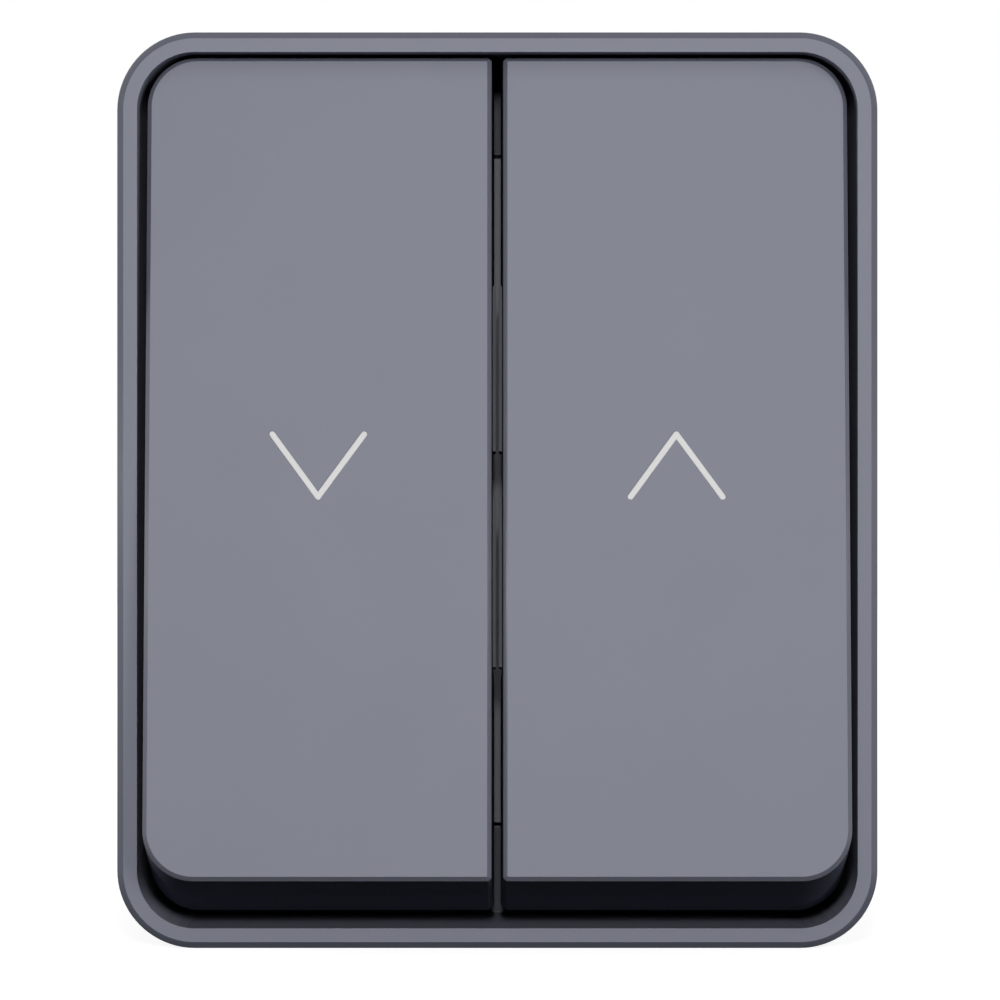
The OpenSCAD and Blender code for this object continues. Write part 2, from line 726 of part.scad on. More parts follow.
module actuator(side) {
    color(dark_grey) on_side(side) rocker_frame() difference() {
        union() {
            difference() {
                block(actuator_in, actuator_out, -actuator_ahead, -actuator_back,
                    -actuator_h / 2, actuator_h / 2);
                block(0, actuator_in + notch_depth, -actuator_ahead - cut, -actuator_back + cut,
                    -notch_h / 2, notch_h / 2);
                for (sx = [-1, 1], sz = [-1, 1]) translate([rocker_mid + sx * post_dx, 0, sz * post_dz])
                    block(-peg_side / 2 - peg_fit, peg_side / 2 + peg_fit, -actuator_ahead - cut,
                        -actuator_back + cut, -peg_side / 2 - peg_fit, peg_side / 2 + peg_fit);
            }
            for (s = [-1, 1]) {
                ear_x = rocker_mid + s * ear_pitch / 2;
                block(ear_x - bracket_t / 2, ear_x + bracket_t / 2, -actuator_back - eps, 0, -eye_r, eye_r);
                bar_x(eye_r, ear_x - bracket_t / 2, ear_x + bracket_t / 2);
                if (s < 0) bar_x(trunnion_r, ear_x - bracket_t / 2 - trunnion_len, ear_x);
                else bar_x(trunnion_r, ear_x, ear_x + bracket_t / 2 + trunnion_len);
            }
            translate([rocker_mid, 0, 0]) {
                bar_y(tube_r, -actuator_back - eps, tube_behind);
                block(-ear_pitch / 2, ear_pitch / 2, -actuator_back - eps, -2, -0.8, 0.8);
            }
        }
        translate([rocker_mid, 0, 0]) bar_y(bore_r, -bore_ahead, tube_behind + cut);
    }
}

module left_actuator() actuator(-1);
module right_actuator() actuator(1);

// A round-nosed plunger with a stem that holds the spring.
module plunger(side) {
    nose = plunger_reach - plunger_r;
    shoulder = plunger_reach - plunger_head_l;
    color(plunger_white) rocker_frame() translate([side * rocker_mid, 0, 0])
        rotate([-90, 0, 0]) rotate_extrude() {
            intersection() {
                translate([0, nose]) circle(plunger_r);
                translate([0, nose]) square([plunger_r, plunger_r]);
            }
            translate([0, shoulder]) square([plunger_r, nose - shoulder]);
            translate([0, shoulder - plunger_stem_l]) square([plunger_stem_r, plunger_stem_l]);
        }
}

module left_plunger() plunger(-1);
module right_plunger() plunger(1);

// A round wire wound from y0 to y1 about the tube's axis.
module coil(r, wire, turns, y0, y1) {
    n = turns * spring_steps;
    pitch = (y1 - y0 - wire) / turns;
    points = [for (i = [0 : n], j = [0 : spring_sides - 1])
        let (a = i * 360 / spring_steps, b = j * 360 / spring_sides, rr = r + wire / 2 * cos(b))
            [rr * cos(a), y0 + wire / 2 + pitch * i / spring_steps + wire / 2 * sin(b), rr * sin(a)]];
    sides = [for (i = [0 : n - 1], j = [0 : spring_sides - 1])
        let (k = (j + 1) % spring_sides, p = i * spring_sides, q = p + spring_sides)
            [p + j, p + k, q + k, q + j]];
    first = [for (j = [spring_sides - 1 : -1 : 0]) j];
    last = [for (j = [0 : spring_sides - 1]) n * spring_sides + j];
    polyhedron(points, concat([first], sides, [last]), convexity = 10);
}

module spring(side) {
    color(steel) on_side(side) rocker_frame() translate([rocker_mid, 0, 0])
        coil(spring_r, spring_wire, spring_turns, -bore_ahead + eps,
            plunger_reach - plunger_head_l - eps);
}

module left_spring() spring(-1);
module right_spring() spring(1);

module lever(side) {
    color(brass) on_side(side) lever_frame() difference() {
        union() {
            block(-lever_w / 2, lever_w / 2, -lever_face, -lever_back, -lever_len / 2, lever_len / 2);
            bar_x(roll_r, -lever_w / 2, lever_w / 2);
        }
        for (s = [-1, 1]) translate([0, 0, s * contact_arm])
            bar_y(rivet_r + rivet_fit, -lever_face - cut, cut);
    }
}

module left_lever() lever(-1);
module right_lever() lever(1);

// A contact rivet along Y: its contact face at face, its plate from near to far,
// and its upset tail ending at tail.
module rivet(face, near, far, tail) {
    bar_y(contact_r, min(face, near), max(face, near));
    bar_y(rivet_r, min(near, far) - eps, max(near, far) + eps);
    bar_y(rivet_head_r, min(far, tail), max(far, tail));
}

module lever_points(side) {
    color(silver) on_side(side) lever_frame() for (s = [-1, 1]) translate([0, 0, s * contact_arm])
        rivet(-lever_back + contact_h, -lever_back, -lever_face, -lever_face - rivet_head_h);
}

module left_lever_points() lever_points(-1);
module right_lever_points() lever_points(1);

// A fixed point in the path of a lever's end, at s = 1 above or s = -1 below.
module fixed_point(s) {
    lever_frame(-s * lever_tilt) translate([0, 0, s * contact_arm])
        rivet(fixed_top, arm_top, arm_top + strip_t, arm_top + strip_t + rivet_head_h);
}

module fixed_points() {
    color(silver) {
        on_side(-1) fixed_point(-1);
        on_side(-1) fixed_point(1);
        fixed_point(1);
    }
}

// The sprung arm that carries a fixed point, with its leg down to a depth.
module contact_strip_arm(s, leg_depth) {
    difference() {
        union() {
            lever_frame(-s * lever_tilt)
                block(-strip_w / 2, strip_w / 2, arm_top, arm_top + strip_t,
                    s > 0 ? arm_in : -arm_out, s > 0 ? arm_out : -arm_in);
            translate([rocker_mid, 0, 0]) block(-strip_w / 2, strip_w / 2, y(arm_leg_top), y(leg_depth),
                s > 0 ? arm_leg_z : -arm_leg_z - strip_t, s > 0 ? arm_leg_z + strip_t : -arm_leg_z);
        }
        lever_frame(-s * lever_tilt) translate([0, 0, s * contact_arm])
            bar_y(rivet_r + rivet_fit, arm_top - cut, arm_top + strip_t + cut);
    }
}

// The cradle under a lever's roll, with its leg down to a depth.
module cradle(leg_depth) {
    lever_frame(0) difference() {
        block(-strip_w / 2, strip_w / 2, cradle_top, cradle_foot, -cradle_z, cradle_z);
        bar_x(roll_r + roll_fit, -lever_w, lever_w);
    }
    translate([rocker_mid, 0, 0]) block(-strip_w / 2, strip_w / 2, y(lever_depth + cradle_foot - eps),
        y(leg_depth), -strip_t / 2, strip_t / 2);
}

// The tongue inside a terminal clamp, with its leg down to the floor.
module terminal_tongue(x) {
    z_out = cage_z - cage_h / 2;
    translate([x, 0, 0]) {
        block(-tongue_w / 2, tongue_w / 2, y(cage_front + cage_wall), y(cage_front + cage_wall + strip_t),
            z_out, terminal_leg_z + strip_t);
        block(-tongue_w / 2, tongue_w / 2, y(cage_front + cage_wall), y(run_back),
            terminal_leg_z, terminal_leg_z + strip_t);
    }
}

// A flat run of strip between two corners of its outline.
module run(x0, x1, z0, z1, front, back) {
    block(min(x0, x1), max(x0, x1), y(front), y(back), min(z0, z1), max(z0, z1));
}

module outer_strip() {
    half = strip_w / 2;
    contact_strip_arm(1, run_back);
    run(rocker_mid - half, outer_run_x + half, arm_leg_z + strip_t - strip_w, arm_leg_z + strip_t,
        run_front, run_back);
    run(outer_run_x - half, outer_run_x + half, terminal_leg_z, arm_leg_z + strip_t, run_front, run_back);
    run(terminal_pitch - tongue_w / 2, outer_run_x + half, terminal_leg_z - (terminal_run_w - strip_t) / 2,
        terminal_leg_z + (terminal_run_w + strip_t) / 2, run_front, run_back);
    terminal_tongue(terminal_pitch);
}

module down_strip() {
    color(brass) on_side(-1) outer_strip();
}

module up_strip() {
    color(brass) outer_strip();
}

module feed_strip() {
    half = strip_w / 2;
    color(brass) {
        on_side(-1) cradle(run_back);
        run(-rocker_mid - half, -feed_down_x + half, -half, half, run_front, run_back);
        run(-feed_down_x - half, -feed_down_x + half, terminal_leg_z, half, run_front, run_back);
        run(-feed_down_x - half, tongue_w / 2, terminal_leg_z - (terminal_run_w - strip_t) / 2,
            terminal_leg_z + (terminal_run_w + strip_t) / 2, run_front, run_back);
        terminal_tongue(0);
    }
}

module link_strip() {
    half = strip_w / 2;
    color(brass) {
        on_side(-1) contact_strip_arm(-1, link_back);
        run(-rocker_mid - half, link_up_x + half, link_z() - half, link_z() + half, link_front, link_back);
        run(link_up_x - half, link_up_x + half, link_z() - half, half, link_front, link_back);
        run(link_up_x - half, rocker_mid + half, -half, half, link_front, link_back);
        cradle(link_back);
    }
}

// A square clamp cage around the strip's tongue, open above and below.
module clamp(x) {
    color(steel) translate([x, 0, cage_z]) difference() {
        block(-cage_side / 2, cage_side / 2, y(cage_front), y(cage_back), -cage_h / 2, cage_h / 2);
        block(-cage_side / 2 + cage_wall, cage_side / 2 - cage_wall, y(cage_front + cage_wall),
            y(cage_back - cage_wall), -cage_h, cage_h);
        slab(cage_back - cage_wall - cut, cage_back + cut) circle(terminal_screw_r + screw_fit);
    }
}

module feed_clamp() clamp(0);
module down_clamp() clamp(-terminal_pitch);
module up_clamp() clamp(terminal_pitch);

module clamp_screw(x) {
    head_back = housing_back - 0.7;
    color(steel) translate([x, 0, cage_z]) difference() {
        union() {
            slab(cage_back - cage_wall - 2, head_back - terminal_head_h + eps) circle(terminal_screw_r);
            slab(head_back - terminal_head_h, head_back) circle(terminal_head_r);
        }
        mirror([0, 1, 0]) cross_slot(terminal_head_r * 0.6, -y(head_back), 1);
    }
}

module feed_clamp_screw() clamp_screw(0);
module down_clamp_screw() clamp_screw(-terminal_pitch);
module up_clamp_screw() clamp_screw(terminal_pitch);

back_box();
sealing_ring();
top_grommet();
bottom_grommet();
front_frame();
frame_screws();
carrier_plate();
mechanism_screws();
mechanism_housing();
left_rocker();
right_rocker();
down_arrow();
up_arrow();
left_actuator();
right_actuator();
left_plunger();
right_plunger();
left_spring();
right_spring();
left_lever();
right_lever();
left_lever_points();
right_lever_points();
feed_strip();
link_strip();
down_strip();
up_strip();
fixed_points();
feed_clamp();
down_clamp();
up_clamp();
feed_clamp_screw();
down_clamp_screw();
up_clamp_screw();
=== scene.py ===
"""Studio scene of a surface-mounted roller shutter switch.

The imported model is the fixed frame. This script models the moulded shells, arrows,
grommets, screws and springs around it, gives every other part its finish, and sets the
switch upright on a plain pale floor under soft light.
"""

from __future__ import annotations

import json
import logging
import math
from collections.abc import Callable, Iterable, Sequence
from dataclasses import dataclass, replace
from enum import Enum

import bmesh
import bpy
from mathutils import Matrix, Vector

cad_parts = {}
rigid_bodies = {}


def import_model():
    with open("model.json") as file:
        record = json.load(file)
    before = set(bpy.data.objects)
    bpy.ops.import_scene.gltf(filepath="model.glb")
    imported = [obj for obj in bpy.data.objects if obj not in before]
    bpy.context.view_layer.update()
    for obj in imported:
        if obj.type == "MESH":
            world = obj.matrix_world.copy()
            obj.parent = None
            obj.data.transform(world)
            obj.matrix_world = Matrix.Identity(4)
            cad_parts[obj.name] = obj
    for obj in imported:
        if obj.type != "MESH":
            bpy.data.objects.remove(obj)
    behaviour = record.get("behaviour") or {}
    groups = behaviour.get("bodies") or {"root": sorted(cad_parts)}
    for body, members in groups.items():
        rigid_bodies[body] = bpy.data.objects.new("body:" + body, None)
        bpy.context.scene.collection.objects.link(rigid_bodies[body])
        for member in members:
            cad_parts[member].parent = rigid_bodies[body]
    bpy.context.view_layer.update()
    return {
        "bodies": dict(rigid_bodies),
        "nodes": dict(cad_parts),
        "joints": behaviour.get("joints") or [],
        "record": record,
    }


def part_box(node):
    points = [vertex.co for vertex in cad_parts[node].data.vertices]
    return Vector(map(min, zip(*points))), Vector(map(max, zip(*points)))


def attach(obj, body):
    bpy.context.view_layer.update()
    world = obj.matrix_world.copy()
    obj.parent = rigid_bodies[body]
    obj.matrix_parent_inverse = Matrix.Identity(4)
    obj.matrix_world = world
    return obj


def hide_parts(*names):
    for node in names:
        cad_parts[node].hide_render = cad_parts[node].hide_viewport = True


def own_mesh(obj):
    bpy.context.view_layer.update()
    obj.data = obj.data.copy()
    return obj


log = logging.getLogger("roller_shutter_switch")

MM = 0.001

# Straight steps round a quarter turn, and tones round the frame's inner corners.
CORNER_STEPS = 20
WALL_STEPS = 6

# Millimetres that joined solids sink into each other, and that a cutter reaches past its work.
OVERLAP = 0.5
PAST = 1

# Cosines to an axis: a face above the first looks along the axis, one below the second is a wall.
FACING = 0.94
WALL = 0.4

# Steps round a screw and a grommet, and round a corner of the sealing ring's section.
SCREW_STEPS = 28
GROMMET_STEPS = 96
SECTION_STEPS = 5

# Slow patches of tone to a metre of surface.
PATCHES_PER_METRE = 140

Outline = list[tuple[float, float]]
Colour = tuple[float, float, float]
FaceTest = Callable[[bpy.types.MeshPolygon], bool]


class Side(Enum):
    """One half of the switch, as the sign of X."""

    LEFT = -1
    RIGHT = 1

    @property
    def label(self) -> str:
        """The word that the half's nodes and joints start with."""
        return self.name.lower()


class Slot(Enum):
    """The record's material slots."""

    FRAME = "frame_plastic"
    ROCKER = "rocker_plastic"
    ARROW = "arrow_inlay"
    DARK = "dark_plastic"
    HOUSING = "housing_plastic"
    RUBBER = "seal_rubber"
    PLUNGER = "plunger_plastic"
    ZINC = "zinc_steel"
    SPRING = "spring_steel"
    BRASS = "contact_brass"
    SILVER = "contact_silver"


def arc(centre: tuple[float, float], radius: float, start: float, end: float, steps: int) -> Outline:
    """Lists the points of a round stretch, both ends included.

    Args:
        centre: Centre of the arc.
        radius: Radius of the arc.
        start: First angle, in degrees from +X towards +Z.
        end: Last angle, in degrees.
        steps: Number of straight steps.

    Returns:
        The points, in order.
    """
    angles = [math.radians(start + (end - start) * i / steps) for i in range(steps + 1)]
    return [(centre[0] + radius * math.cos(a), centre[1] + radius * math.sin(a)) for a in angles]


def circle(radius: float, steps: int) -> Outline:
    """Lists the points of a full circle about the origin."""
    return arc((0, 0), radius, 0, 360 * (steps - 1) / steps, steps - 1)


def four_corners(x: float, z: float) -> list[tuple[float, float]]:
    """The four places at one distance from the centre."""
    return [(sx * x, sz * z) for sx in (-1, 1) for sz in (-1, 1)]


def span(first: float, second: float) -> tuple[float, float]:
    """Two numbers in rising order."""
    return min(first, second), max(first, second)


@dataclass(frozen=True)
class RoundedRect:
    """A rectangle with round corners about the origin, in millimetres."""

    width: float
    height: float
    radius: float

    def inset(self, by: float) -> RoundedRect:
        """The same outline moved inwards all round."""
        return RoundedRect(self.width - 2 * by, self.height - 2 * by, self.radius - by)

    def outline(self) -> Outline:
        """Lists the points of the outline.

        Returns:
            The points, with the same count and order for every size.
        """
        corners = (1, 1), (-1, 1), (-1, -1), (1, -1)
        x = self.width / 2 - self.radius
        z = self.height / 2 - self.radius
        return [
            point
            for turn, (sx, sz) in enumerate(corners)
            for point in arc((sx * x, sz * z), self.radius, 90 * turn, 90 * turn + 90, CORNER_STEPS)
        ]


@dataclass(frozen=True)
class Section:
    """An outline across the Y axis, at its place along that axis, in millimetres."""

    outline: Outline
    y: float


def node_box(node: str) -> tuple[Vector, Vector]:
    """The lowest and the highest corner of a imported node, in millimetres."""
    low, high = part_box(node)
    return low / MM, high / MM


def node_outline(node: str, radius: float) -> RoundedRect:
    """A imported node's outline from the front, with round corners."""
    low, high = node_box(node)
    return RoundedRect(high.x - low.x, high.z - low.z, radius)


def loft(sections: Sequence[Section], closed: bool = False) -> bmesh.types.BMesh:
    """Skins a row of sections that all have the same count of points.

    Args:
        sections: The sections, in order along the skin.
        closed: Joins the last section to the first instead of capping both.

    Returns:
        A closed solid whose faces point outwards, in millimetres.
    """
    solid = bmesh.new()
    rings = [[solid.verts.new((x, s.y, z)) for x, z in s.outline] for s in sections]
    following = rings[1:] + rings[:1] if closed else rings[1:]
    for near, far in zip(rings, following):
        for i in range(len(near)):
            solid.faces.new((near[i - 1], near[i], far[i], far[i - 1]))
    if not closed:
        solid.faces.new(rings[0])
        solid.faces.new(rings[-1])
    bmesh.ops.recalc_face_normals(solid, faces=solid.faces)
    return solid


def add_block(solid: bmesh.types.BMesh, low: Sequence[float], high: Sequence[float]) -> None:
    """Adds a box to a mesh.

    Args:
        solid: The mesh that grows.
        low: Corner with the lowest values.
        high: Corner with the highest values.
    """
    size = [b - a for a, b in zip(low, high)]
    middle = [(a + b) / 2 for a, b in zip(low, high)]
    matrix = Matrix.Translation(middle) @ Matrix.Diagonal((*size, 1))
    bmesh.ops.create_cube(solid, size=1, matrix=matrix)


def add_rod(
    solid: bmesh.types.BMesh,
    start: Sequence[float],
    end: Sequence[float],
    radius: float,
    steps: int = 48,
) -> None:
    """Adds a round bar to a mesh.

    Args:
        solid: The mesh that grows.
        start: Centre of one end.
        end: Centre of the other end.
        radius: Radius of the bar.
        steps: Number of its sides.
    """
    axis = Vector(end) - Vector(start)
    turn = axis.to_track_quat("Z", "Y").to_matrix().to_4x4()
    bmesh.ops.create_cone(
        solid,
        cap_ends=True,
        segments=steps,
        radius1=radius,
        radius2=radius,
        depth=axis.length,
        matrix=Matrix.Translation((Vector(start) + Vector(end)) / 2) @ turn,
    )


def settle_modifiers(obj: bpy.types.Object) -> None:
    """Bakes an object's modifiers into its mesh.

    Args:
        obj: The object, which keeps no modifier.
    """
    depsgraph = bpy.context.evaluated_depsgraph_get()
    raw = obj.data
    obj.data = bpy.data.meshes.new_from_object(obj.evaluated_get(depsgraph), depsgraph=depsgraph)
    obj.modifiers.clear()
    bpy.data.meshes.remove(raw)


def discard(obj: bpy.types.Object) -> None:
    """Deletes an object that has served as a tool.

    Args:
        obj: The object, whose mesh goes with it.
    """
    mesh = obj.data
    bpy.data.objects.remove(obj)
    bpy.data.meshes.remove(mesh)


def dress_object(obj: bpy.types.Object, finish: Finish) -> None:
    """Gives a whole object one finish.

    Args:
        obj: The mesh object.
        finish: Its finish, whose slot becomes the object's.
    """
    obj.data.materials.clear()
    obj.data.materials.append(finish.material())


def leans(cosine: float) -> bool:
    """Whether a face stands at a slant to the axis that this is its cosine to."""
    return WALL < cosine < FACING


def faces_in(face: bpy.types.MeshPolygon) -> bool:
    """Whether a wall of an opening along Y looks back to the opening's middle."""
    across = face.normal.x * face.center.x + face.normal.z * face.center.z
    return abs(face.normal.y) < WALL and across < 0


class Workpiece:
    """A piece on its way from a raw solid in millimetres to a dressed object in metres."""

    def __init__(
        self, name: str, solid: bmesh.types.BMesh, placement: Matrix = Matrix.Identity(4)
    ) -> None:
        """Turns a raw solid into an object at its place.

        Args:
            name: Name of the piece.
            solid: The raw solid, in millimetres. It is freed.
            placement: Turn and shift of the solid, in millimetres.
        """
        solid.transform(Matrix.Scale(MM, 4) @ placement)
        mesh = bpy.data.meshes.new(name)
        solid.to_mesh(mesh)
        solid.free()
        self.obj = bpy.data.objects.new(name, mesh)
        bpy.context.scene.collection.objects.link(self.obj)

    def _combine(self, tool: Workpiece, operation: str) -> None:
        """Applies one exact boolean.

        Args:
            tool: The other solid, which is used up.
            operation: The boolean's own word for what it does.
        """
        modifier = self.obj.modifiers.new(operation.lower(), "BOOLEAN")
        modifier.operation = operation
        modifier.solver = "EXACT"
        modifier.use_self = True
        modifier.object = tool.obj
        settle_modifiers(self.obj)
        discard(tool.obj)

    def cut(self, tool: Workpiece) -> None:
        """Takes the tool's shape away from the piece."""
        self._combine(tool, "DIFFERENCE")

    def join(self, tool: Workpiece) -> None:
        """Adds the tool's shape to the piece."""
        self._combine(tool, "UNION")

    def soften(self, width: float, segments: int = 3, limit: float = 30) -> None:
        """Rounds the piece's sharp edges and keeps its flats flat.

        Args:
            width: Width of the rounding, in millimetres.
            segments: Steps across the rounding.
            limit: Edges that turn by less than this many degrees stay.
        """
        bevel = self.obj.modifiers.new("edge_radius", "BEVEL")
        bevel.width = width * MM
        bevel.segments = segments
        bevel.limit_method = "ANGLE"
        bevel.angle_limit = math.radians(limit)
        bevel.use_clamp_overlap = True
        settle_modifiers(self.obj)
        self.smooth()

    def smooth(self) -> None:
        """Shades the piece smooth, with normals that follow its large faces."""
        self.obj.data.shade_smooth()
        normals = self.obj.modifiers.new("flat_faces", "WEIGHTED_NORMAL")
        normals.weight = 100
        normals.keep_sharp = True

    def dress(self, finish: Finish) -> None:
        """Gives the whole piece one finish."""
        dress_object(self.obj, finish)

    def dress_faces(self, finish: Finish, chosen: FaceTest) -> None:
        """Gives some of the faces another finish.

        Args:
            finish: The faces' finish, in the piece's own slot.
            chosen: Test that picks the faces.
        """
        mesh = self.obj.data
        index = len(mesh.materials)
        mesh.materials.append(finish.material())
        for face in mesh.polygons:
            if chosen(face):
                face.material_index = index

    def fit(self, body: str, *nodes: str) -> None:
        """Puts the piece on its body.

        Args:
            body: Name of the body.
            *nodes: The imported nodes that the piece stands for.
        """
        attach(self.obj, body)
        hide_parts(*nodes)
        log.info("%s rides on %s in place of %s", self.obj.name, body, ", ".join(nodes))


class Placed(Workpiece):
    """A finished mesh object that is handled like any other workpiece."""

    def __init__(self, obj: bpy.types.Object, placement: Matrix) -> None:
        """Puts a finished mesh, in metres, at its place.

        Args:
            obj: Object at the origin.
            placement: Turn and shift, in millimetres.
        """
        self.obj = obj
        shift = placement.copy()
        shift.translation *= MM
        obj.data.transform(shift)


class NodeTree:
    """A node tree, or a group, under construction."""

    def __init__(self, tree: bpy.types.NodeTree) -> None:
        """Starts from an empty tree."""
        self.tree = tree
        self.tree.nodes.clear()

    def node(
        self, kind: str, feeds: dict[str | int, object] | None = None, **settings: object
    ) -> bpy.types.Node:
        """Adds a node.

        Args:
            kind: Type of the node.
            feeds: Its inputs by name or place, each a value or another node's output.
            **settings: Its properties.

        Returns:
            The node.
        """
        made = self.tree.nodes.new(kind)
        for key, value in settings.items():
            setattr(made, key, value)
        for key, value in (feeds or {}).items():
            if isinstance(value, bpy.types.NodeSocket):
                self.tree.links.new(value, made.inputs[key])
            else:
                made.inputs[key].default_value = value
        return made

    def math(self, operation: str, first: object, second: object) -> bpy.types.NodeSocket:
        """Adds a Math node whose inputs are numbers or outputs of other nodes."""
        return self.node("ShaderNodeMath", {0: first, 1: second}, operation=operation).outputs[0]

    def ramp(
        self,
        value: bpy.types.NodeSocket,
        start: float,
        end: float,
        low: float = 0,
        high: float = 1,
    ) -> bpy.types.NodeSocket:
        """Adds a straight ramp that is level beyond its ends.

        Args:
            value: What the ramp reads.
            start: Reading where the ramp starts.
            end: Reading where it ends.
            low: Result up to the start.
            high: Result from the end on.

        Returns:
            The ramp's result.
        """
        feeds = {"Value": value, "From Min": start, "From Max": end, "To Min": low, "To Max": high}
        return self.node("ShaderNodeMapRange", feeds, clamp=True).outputs["Result"]

    def noise(
        self, vector: bpy.types.NodeSocket, scale: object, detail: float
    ) -> bpy.types.NodeSocket:
        """Adds a Noise Texture and returns its value."""
        feeds = {"Vector": vector, "Scale": scale, "Detail": detail}
        return self.node("ShaderNodeTexNoise", feeds).outputs["Fac"]


class GeometryTree(NodeTree):
    """A Geometry Nodes tree with named inputs, whose result becomes a plain mesh."""

    def __init__(self, name: str) -> None:
        """Starts a tree with one geometry output.

        Args:
            name: Name of the tree.
        """
        super().__init__(bpy.data.node_groups.new(name, "GeometryNodeTree"))
        self.tree.interface.new_socket("Geometry", in_out="OUTPUT", socket_type="NodeSocketGeometry")
        self.given = self.node("NodeGroupInput")
        self.values: dict[str, object] = {}

    def input(self, title: str, kind: str, value: object) -> bpy.types.NodeSocket:
        """Adds a named input with the value that it will be given.

        Args:
            title: Name of the input.
            kind: Last word of the socket's type, such as Float.
            value: Value that the modifier passes in.

        Returns:
            The socket that hands the value to the tree's nodes.
        """
        socket_type = "NodeSocket" + kind
        socket = self.tree.interface.new_socket(title, in_out="INPUT", socket_type=socket_type)
        self.values[socket.identifier] = value
        return self.given.outputs[title]

    def length(self, title: str, size: float) -> bpy.types.NodeSocket:
        """Adds a named input for a size in millimetres."""
        return self.input(title, "Float", size * MM)

    def mesh_object(
        self, name: str, last: bpy.types.NodeSocket, finish: Finish
    ) -> bpy.types.Object:
        """Ends the tree, runs it and keeps its result.

        Args:
            name: Name of the new object.
            last: Geometry output of the tree's last own node.
            finish: Finish of the whole result.

        Returns:
            An object with a plain mesh and no modifier, in its finish's slot.
        """
        realize = self.node("GeometryNodeRealizeInstances", {"Geometry": last})
        surface = self.input("Material", "Material", finish.material())
        feeds = {"Geometry": realize.outputs["Geometry"], "Material": surface}
        dressed = self.node("GeometryNodeSetMaterial", feeds)
        self.node("NodeGroupOutput", {"Geometry": dressed.outputs["Geometry"]})
        obj = bpy.data.objects.new(name, bpy.data.meshes.new(name))
        bpy.context.scene.collection.objects.link(obj)
        modifier = obj.modifiers.new("nodes", "NODES")
        modifier.node_group = self.tree
        for identifier, value in self.values.items():
            modifier[identifier] = value
        settle_modifiers(obj)
        return obj


def surface_group() -> bpy.types.NodeTree:
    """Builds the group that every finish shares: fine grain over slow, faint mottling.

    Returns:
        A group that puts out a colour, a roughness and a height.
    """
    name = "fine_grain"
    if name in bpy.data.node_groups:
        return bpy.data.node_groups[name]
    group = bpy.data.node_groups.new(name, "ShaderNodeTree")
    for way, title, kind in (
        ("INPUT", "Coordinates", "Vector"),
        ("INPUT", "Colour", "Color"),
        ("INPUT", "Roughness", "Float"),
        ("INPUT", "Grains per metre", "Float"),
        ("INPUT", "Mottle", "Float"),
        ("INPUT", "Roughness spread", "Float"),
        ("OUTPUT", "Colour", "Color"),
        ("OUTPUT", "Roughness", "Float"),
        ("OUTPUT", "Height", "Float"),
    ):
        group.interface.new_socket(title, in_out=way, socket_type="NodeSocket" + kind)
    tree = NodeTree(group)
    given = tree.node("NodeGroupInput").outputs
    fine = tree.noise(given["Coordinates"], given["Grains per metre"], 2)
    slow = tree.noise(given["Coordinates"], PATCHES_PER_METRE, 3)
    drift = tree.math("SUBTRACT", slow, 0.5)
    tone = tree.math("ADD", tree.math("MULTIPLY", drift, given["Mottle"]), 1)
    shade = tree.node("ShaderNodeVectorMath", {0: given["Colour"], "Scale": tone}, operation="SCALE")
    speck = tree.math("SUBTRACT", fine, 0.5)
    spread = tree.math("MULTIPLY", tree.math("ADD", speck, drift), given["Roughness spread"])
    roughness = tree.math("ADD", spread, given["Roughness"])
    feeds = {"Colour": shade.outputs[0], "Roughness": roughness, "Height": fine}
    tree.node("NodeGroupOutput", feeds)
    return group


@dataclass(frozen=True)
class Finish:
    """A surface with a fine grain, from spark-eroded plastic to tumbled metal.

    Attributes:
        slot: The record's slot that the finish belongs to.
        colour: Linear base colour.
        roughness: Mean roughness.
        specular: Strength of the mirror part on a non-metal.
        grain: Size of a grain, in millimetres.
        depth: Height of the grain, in millimetres.
        mottle: Slow change of tone, as a share of the colour.
        spread: Change of roughness over the surface.
        metallic: 1 for metal and 0 for anything else.
        lines: Stretch of the grain along X, Y and Z, which draws rolled lines.
        label: Name of the material, where a slot has more than one finish.
    """

    slot: Slot
    colour: Colour
    roughness: float
    specular: float = 0.4
    grain: float = 0.12
    depth: float = 0.003
    mottle: float = 0.04
    spread: float = 0.08
    metallic: float = 0
    lines: Colour = (1, 1, 1)
    label: str = ""

    def towards(self, other: Finish, share: float, label: str) -> Finish:
        """A finish whose colour lies between two others."""
        colour = tuple(a + (b - a) * share for a, b in zip(self.colour, other.colour))
        return replace(self, colour=colour, label=label)

    def material(self) -> bpy.types.Material:
        """The finish's material, built the first time it is asked for.

        Returns:
            The material, named after the label or the slot.
        """
        name = (self.label or self.slot.value) + "_surface"
        known = bpy.data.materials.get(name)
        if known is not None:
            return known
        made = bpy.data.materials.new(name)
        made.use_nodes = True
        made.diffuse_color = (*self.colour, 1)
        tree = NodeTree(made.node_tree)
        place = tree.node("ShaderNodeTexCoord").outputs["Object"]
        stretch = tree.node("ShaderNodeMapping", {"Vector": place, "Scale": self.lines})
        grain = tree.node(
            "ShaderNodeGroup",
            {
                "Coordinates": stretch.outputs[0],
                "Colour": (*self.colour, 1),
                "Roughness": self.roughness,
                "Grains per metre": 1 / (self.grain * MM),
                "Mottle": self.mottle,
                "Roughness spread": self.spread,
            },
            node_tree=surface_group(),
        ).outputs
        feeds = {"Strength": 1, "Distance": self.depth * MM, "Height": grain["Height"]}
        bump = tree.node("ShaderNodeBump", feeds)
        shader = tree.node(
            "ShaderNodeBsdfPrincipled",
            {
                "Base Color": grain["Colour"],
                "Metallic": self.metallic,
                "Roughness": grain["Roughness"],
                "Specular IOR Level": self.specular,
                "Normal": bump.outputs[0],
            },
        )
        tree.node("ShaderNodeOutputMaterial", {"Surface": shader.outputs[0]})
        return made


